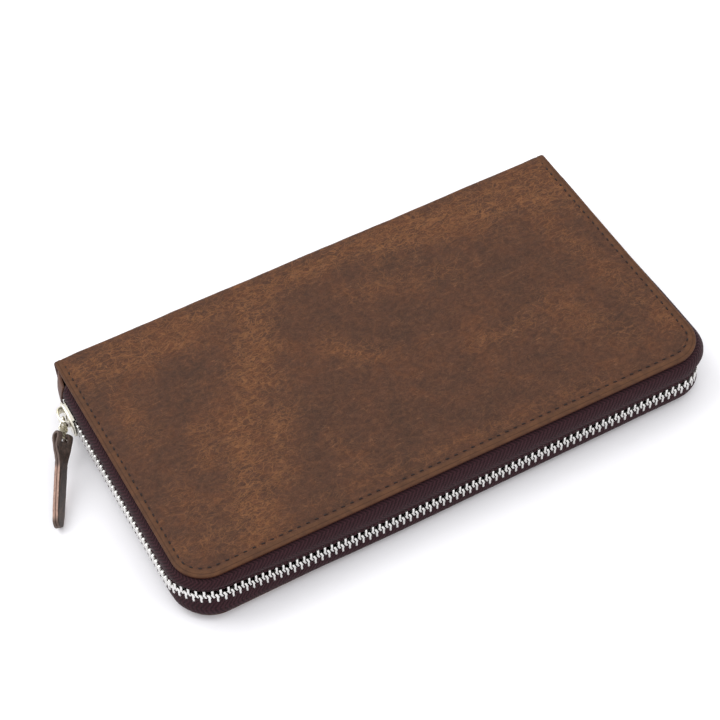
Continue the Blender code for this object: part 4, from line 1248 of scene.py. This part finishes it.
D, SIDE, UP = pull_frame(0.0)
LINK_AXIS = Vector((-XH - 4.1 - 0.75, CROWN_Y, ZM))
STRAP_AXIS = LINK_AXIS + D * 7.6


def ring_section(s, path, frames, rx, ry, power=1.0, sides=10, closed=False, caps=True):
    """Sweeps a rounded section along a path; frames give the two section axes."""
    rows = []
    for k, (p, (u, w)) in enumerate(zip(path, frames)):
        row = []
        r1 = rx[k] if isinstance(rx, (list, tuple)) else rx
        r2 = ry[k] if isinstance(ry, (list, tuple)) else ry
        for j in range(sides):
            b = 2 * math.pi * j / sides
            cu = math.copysign(abs(math.cos(b)) ** power, math.cos(b)) * r1
            cw = math.copysign(abs(math.sin(b)) ** power, math.sin(b)) * r2
            q = p + u * cu + w * cw
            row.append(s.v(tuple(q), (k * 0.05, j * 0.03, 0), 5.0, 0.0, merge=False))
        rows.append(row)
    s.grid(rows, closed_u=closed, closed_v=True)
    if caps and not closed:
        s.faces.append(tuple(rows[0]))
        s.faces.append(tuple(reversed(rows[-1])))
    return rows


def link_piece():
    s = Soup()
    w, e, r = 1.62, 5.0, 1.05

    def lean(t):
        """Axes of the link at t along it: it hangs twisted in the crown."""
        return pull_frame(math.radians(42.0) * smooth01(0.3, 4.2, t))

    path, frames = [], []
    for cx, cz, a0 in ((r, w - r, 90), (r, -w + r, 180), (e - r, -w + r, 270), (e - r, w - r, 0)):
        for i in range(6):
            a = math.radians(a0 + 90 * i / 5)
            _, side, up = lean(cx + r * math.cos(a))
            out = D * math.cos(a) + up * math.sin(a)
            path.append(LINK_AXIS + D * (cx + r * math.cos(a)) + up * (cz + r * math.sin(a)))
            frames.append((out, side))
    ring_section(s, path, frames, 0.44, 0.42, 0.8, 10, closed=True)
    # flat shank into the strap, flared where it leaves the eye
    path, frames, wid = [], [], []
    for t, half in ((3.2, 1.2), (3.7, 1.45), (4.4, 1.52), (5.2, 1.45), (6.0, 1.25), (6.9, 1.1), (7.6, 1.05)):
        _, side, up = lean(t)
        path.append(LINK_AXIS + D * t)
        frames.append((up, side))
        wid.append(half)
    ring_section(s, path, frames, wid, 0.36, 0.45, 14)
    _, side, up = lean(7.6)
    path = [STRAP_AXIS + up * z for z in spaced(-2.0, 2.0, 0.5)]
    ring_section(s, path, [(D, side)] * len(path), [0.36] + [0.48] * (len(path) - 2) + [0.36],
                 [0.36] + [0.48] * (len(path) - 2) + [0.36], 1.0, 12)
    ob = s.done("pull_link_loop", [POLISHED], sharp=38.0)
    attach(ob, "pull_link")
    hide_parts("pull_link")
    return ob


link = link_piece()


def strap_half(x):
    keys = ((0.0, 3.1), (3.8, 3.15), (8.2, 2.6), (14.0, 2.9), (27.0, 2.75), (31.4, 2.4))
    for (x0, w0), (x1, w1) in zip(keys, keys[1:]):
        if x <= x1:
            u = (x - x0) / (x1 - x0)
            return w0 + (w1 - w0) * u * u * (3 - 2 * u)
    r = 2.4
    return math.sqrt(max(0.0, r * r - (x - 31.4) ** 2)) if x < 33.8 else 0.0


STRAP = Nodes("strap_leather")


def strap_material():
    """Dark waxed face, paler bare edges with the glue line between two layers; painted shade darkens the edges and
    inner faces in the fold and at the tip.
    """
    n = STRAP
    p = n.attr("rest")
    edge = n.attr("inset", "Fac")       # 1 on the cut edge, 0 on the face
    tone = n.m("ADD", n.m("MULTIPLY", n.noise(p, 3.0, 5.0, 0.65), 0.6), n.m("MULTIPLY", n.noise(p, 16.0, 4.0, 0.7), 0.4))
    face = n.ramp(tone, [(0.36, srgb(36, 29, 27)), (0.5, srgb(60, 50, 46)), (0.64, srgb(92, 77, 70))])
    worn = n.rng(n.m("ABSOLUTE", n.m("SUBTRACT", n.noise(n.map(p, scale=(0.35, 1.5, 1.0)), 7.0, 3.0, 0.6), 0.5)), 0.03, 0.0)
    face = n.mix(n.m("MULTIPLY", worn, 0.35, clamp=True), face, srgb(128, 100, 84))
    bare = n.ramp(n.noise(n.map(p, scale=(1.0, 3.0, 3.0)), 9.0, 4.0, 0.7),
                  [(0.3, srgb(112, 84, 74)), (0.5, srgb(150, 118, 104)), (0.7, srgb(178, 146, 130))])
    col = n.mix(n.rng(edge, 0.35, 0.6), face, bare)
    # painted shade: the cut edges and inner faces are darkened in the fold round the crossbar and at the tip, where
    # shade falls
    painted_fold_tip_shade = n.m("MAXIMUM", n.rng(n.sep(p)[0], 1.35, 1.05), n.rng(n.sep(p)[0], 3.0, 3.3))
    col = n.mix(n.m("MULTIPLY", n.m("MULTIPLY", painted_fold_tip_shade, n.rng(edge, 0.3, 0.5)), 0.86, clamp=True), col, srgb(66, 52, 47))
    fibre = n.noise(n.map(p, scale=(1.0, 3.0, 3.0)), 24.0, 4.0, 0.7)
    normal = n.bump(n.m("ADD", n.m("MULTIPLY", fibre, 0.5), n.m("MULTIPLY", n.vor(p, 19.0), 0.5)), 0.4, 0.00015)
    return n.out(col, n.rng(tone, 0.35, 0.65, 0.42, 0.6, "LINEAR"), normal, Specular_IOR_Level=0.4)


def strap_piece():
    """One strip of leather folded round the link's crossbar, both halves glued
    together down to the tip, with a slot in the fold for the link."""
    s = Soup()
    half_t = 0.54
    path = []                                     # (x along the pull, side offset, tangent angle)
    xs = spaced(33.7, 4.2, 0.75)
    gap = half_t + 0.05
    for x in xs:
        path.append((x, gap))
    # from the glued body to the loop round the crossbar
    loop_r = 1.42
    for i in range(1, 7):
        t = i / 6
        path.append((4.2 - 4.2 * t, gap + (loop_r - gap) * t * t * (3 - 2 * t)))
    for i in range(1, 12):
        a = math.pi / 2 + math.pi * i / 12
        path.append((loop_r * math.cos(a), loop_r * math.sin(a)))
    path += [(x, -y) for x, y in reversed(path[:len(xs) + 6])]
    cols = [-1.0, -0.93, -0.8, -0.62, -0.456, -0.3, -0.1, 0.1, 0.3, 0.456, 0.62, 0.8, 0.93, 1.0]
    top, bot = [], []
    for k, (x, o) in enumerate(path):
        a, b = path[max(k - 1, 0)], path[min(k + 1, len(path) - 1)]
        t2 = Vector((b[0] - a[0], b[1] - a[1])).normalized()
        n2 = Vector((t2.y, -t2.x))                 # outward from the fold's inside
        if n2.y * o < 0 and abs(o) > 0.3:
            n2 = -n2
        if x < 0 and n2.x > 0:
            n2 = -n2
        spin = math.radians(42.0) - math.radians(27.0) * smooth01(2.5, 12.5, x)
        d, side, up = pull_frame(spin)
        w = max(strap_half(max(x, 0.0)), 0.05)
        pinch = math.exp(-((x - 9.4) / 0.55) ** 2) * 0.16
        rt, rb = [], []
        for c in cols:
            cc = c
            soft = 0.16 * smooth01(0.78, 1.0, abs(c))      # rounded cut edges
            out = half_t - soft - pinch
            base = STRAP_AXIS + D * x + up * (cc * w)
            pt = base + side * (o + n2.y * out) + D * (n2.x * out)
            inn = half_t - soft * 0.6
            pb = base + side * (o - n2.y * inn) - D * (n2.x * inn)
            arc_len = k * 0.075
            rt.append((pt, (x / 10, cc * w / 10, 0.1 if o > 0 else -0.1), 0.0 if abs(c) < 0.95 else 0.45, arc_len))
            rb.append((pb, (x / 10, cc * w / 10, 0.0), 0.6, arc_len))
        top.append(rt)
        bot.append(rb)
    ti = [[s.v(tuple(p), r, a, 0.0, merge=False) for p, r, a, _ in row] for row in top]
    bi = [[s.v(tuple(p), r, a, 0.0, merge=False) for p, r, a, _ in row] for row in bot]
    n, m = len(ti), len(cols)
    first = len(xs) + 1

    def open_slot(k, j):
        """Quads left out for the link's slot, at the fold and a little past it."""
        return 3 < j < 9 and (first + 1) <= k < n - first - 2

    for k in range(n - 1):
        for j in range(m - 1):
            if open_slot(k, j):
                continue
            s.f(ti[k][j], ti[k + 1][j], ti[k + 1][j + 1], ti[k][j + 1])
            s.f(bi[k][j], bi[k][j + 1], bi[k + 1][j + 1], bi[k + 1][j])
    edges = {}
    for face_set in (ti,):
        for k in range(n - 1):
            for j in range(m - 1):
                if open_slot(k, j):
                    continue
                quad = [(k, j), (k + 1, j), (k + 1, j + 1), (k, j + 1)]
                for q0, q1 in zip(quad, quad[1:] + quad[:1]):
                    key = tuple(sorted((q0, q1)))
                    edges[key] = edges.get(key, 0) + 1
    for (q0, q1), count in edges.items():
        if count == 1:
            mids = []
            for q in (q0, q1):
                a_, b_ = Vector(s.verts[ti[q[0]][q[1]]]), Vector(s.verts[bi[q[0]][q[1]]])
                r_ = s.rest[ti[q[0]][q[1]]]
                mids.append(s.v(tuple((a_ + b_) / 2), r_, 1.0, 0.0, merge=True))
            s.f(ti[q0[0]][q0[1]], ti[q1[0]][q1[1]], mids[1], mids[0])
            s.f(mids[0], mids[1], bi[q1[0]][q1[1]], bi[q0[0]][q0[1]])
    ob = s.done("pull_strap_leather", [strap_material()], sharp=55.0)
    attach(ob, "pull_strap")
    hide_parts("pull_strap")
    return ob


strap = strap_piece()

# ---- coin slider and its pull --------------------------------------------------------------------------
def coin_slider_piece():
    lo, hi = node_box("coin_slider_body")
    cx, y0 = (lo.x + hi.x) / 2, -37.1
    s = Soup()

    def plate(ya, yb, half_x, half_z, r):
        rows = []
        for y, g in ((ya, r), (ya + 0.12, r * 0.35), (ya + 0.3, 0.0), (yb - 0.2, 0.0), (yb, r * 0.4)):
            row = []
            for k in range(24):
                a = 2 * math.pi * k / 24
                cxx = math.copysign(abs(math.cos(a)) ** 0.5, math.cos(a)) * (half_x - g)
                czz = math.copysign(abs(math.sin(a)) ** 0.5, math.sin(a)) * (half_z - g)
                czz *= 1.0 - 0.10 * smooth01(0.0, half_x, -cxx)
                row.append(s.v((cx + cxx, y, ZM + czz), (cxx / 10, czz / 10, 0), 5.0, 0.0, merge=False))
            rows.append(row)
        s.grid(rows, closed_v=True)
        s.faces.append(tuple(rows[0]))
        s.faces.append(tuple(reversed(rows[-1])))

    plate(y0, y0 + 0.8, 4.0, 2.9, 0.3)
    for sign in (-1, 1):
        rows = []
        for x in spaced(cx - 3.4, cx + 3.4, 0.8):
            f = 2.35 - 0.12 * smooth01(0.0, 4.0, cx - x)
            rows.append([s.v((x, y0 + 0.6 + y, ZM + sign * (f + z)), (x / 10, y / 10, 0), 5.0, 0.0, merge=False)
                         for y, z in ((0.0, -0.36), (1.5, -0.36), (1.9, -0.2), (2.0, 0.1), (1.8, 0.36), (1.2, 0.48), (0.0, 0.48))])
        s.grid(rows, closed_v=True)
        s.faces.append(tuple(rows[0]))
        s.faces.append(tuple(reversed(rows[-1])))
    path, frames = [], []
    for i in range(17):
        a = math.pi * i / 16
        out = 0.2 + 1.62 * max(math.sin(a), 0.0) ** 0.7
        path.append(Vector((cx + 2.6 * math.cos(a), y0 + 0.35 - out, ZM)))
        nx, ny = math.cos(a) * 0.7, -max(math.sin(a), 0.05)
        frames.append((Vector((nx, ny, 0)).normalized(), Vector((0, 0, 1))))
    ring_section(s, path, frames, 0.32, 0.75, 0.7, 12)
    ob = s.done("coin_slider_shell", [POLISHED], sharp=38.0)
    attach(ob, "coin_slider")
    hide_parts("coin_slider_body")
    return ob


def coin_pull_piece():
    axis = Vector((72.0, -37.65, ZM))
    turn = math.pi + math.radians(12.0)
    d, side, up = Vector((math.cos(turn), math.sin(turn), 0)), Vector((-math.sin(turn), math.cos(turn), 0)), Vector((0, 0, 1))
    s = Soup()
    r, w, e = 0.6, 1.2, 3.8
    path, frames = [], []
    for cx, cz, a0 in ((r, w - r, 90), (r, -w + r, 180), (e - r, -w + r, 270), (e - r, w - r, 0)):
        for i in range(5):
            a = math.radians(a0 + 90 * i / 4)
            path.append(axis + d * (cx + r * math.cos(a)) + up * (cz + r * math.sin(a)))
            frames.append((d * math.cos(a) + up * math.sin(a), side))
    ring_section(s, path, frames, 0.3, 0.3, 1.0, 10, closed=True)
    path, wid = [], []
    for x, half in ((3.5, 0.7), (4.0, 1.05), (4.7, 1.5), (5.4, 1.7), (7.5, 1.72), (10.2, 1.7), (11.1, 1.5), (11.7, 1.1), (11.95, 0.6)):
        path.append(axis + d * x)
        wid.append(half)
    ring_section(s, path, [(up, side)] * len(path), wid, [0.2] + [0.26] * (len(path) - 2) + [0.16], 0.5, 16)
    ob = s.done("coin_pull_tag", [POLISHED], sharp=38.0)
    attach(ob, "coin_pull")
    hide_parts("coin_pull")
    return ob


coin_slider_piece()
coin_pull_piece()

# ---- floor, light ------------------------------------------------------------------------------------
floor_mesh = bpy.data.meshes.new("floor")
floor_mesh.from_pydata([(-6, -6, 0), (6, -6, 0), (6, 6, 0), (-6, 6, 0)], [], [(0, 1, 2, 3)])
floor = bpy.data.objects.new("floor", floor_mesh)
bpy.context.scene.collection.objects.link(floor)
floor.location.z = CAD_LO.z - 0.00005
fl = Nodes("floor_white")
floor_mesh.materials.append(fl.out((0.925, 0.92, 0.95), 0.4, Specular_IOR_Level=0.3))
floor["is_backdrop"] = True

world = bpy.data.worlds.new("studio")
bpy.context.scene.world = world
world.use_nodes = True
world.node_tree.nodes["Background"].inputs["Color"].default_value = (1.0, 1.0, 1.0, 1.0)
world.node_tree.nodes["Background"].inputs["Strength"].default_value = 1.05


def area(name, place, aim, size, power, color=(1, 1, 1)):
    light = bpy.data.lights.new(name, "AREA")
    light.shape = "SQUARE"
    light.size = size
    light.energy = power
    light.color = color
    ob = bpy.data.objects.new(name, light)
    ob.location = place
    ob.rotation_mode = "QUATERNION"
    ob.rotation_quaternion = (Vector(aim) - Vector(place)).to_track_quat("-Z", "Y")
    bpy.context.scene.collection.objects.link(ob)
    return ob


area("key", (-0.75, 0.85, 1.35), (0, 0, 0), 1.3, 13.0)
area("fill", (0.9, -0.9, 1.3), (0, 0, 0), 1.4, 7.0)
bpy.context.scene.view_settings.view_transform = "Standard"
bpy.context.scene.view_settings.look = "None"

lo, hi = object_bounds()
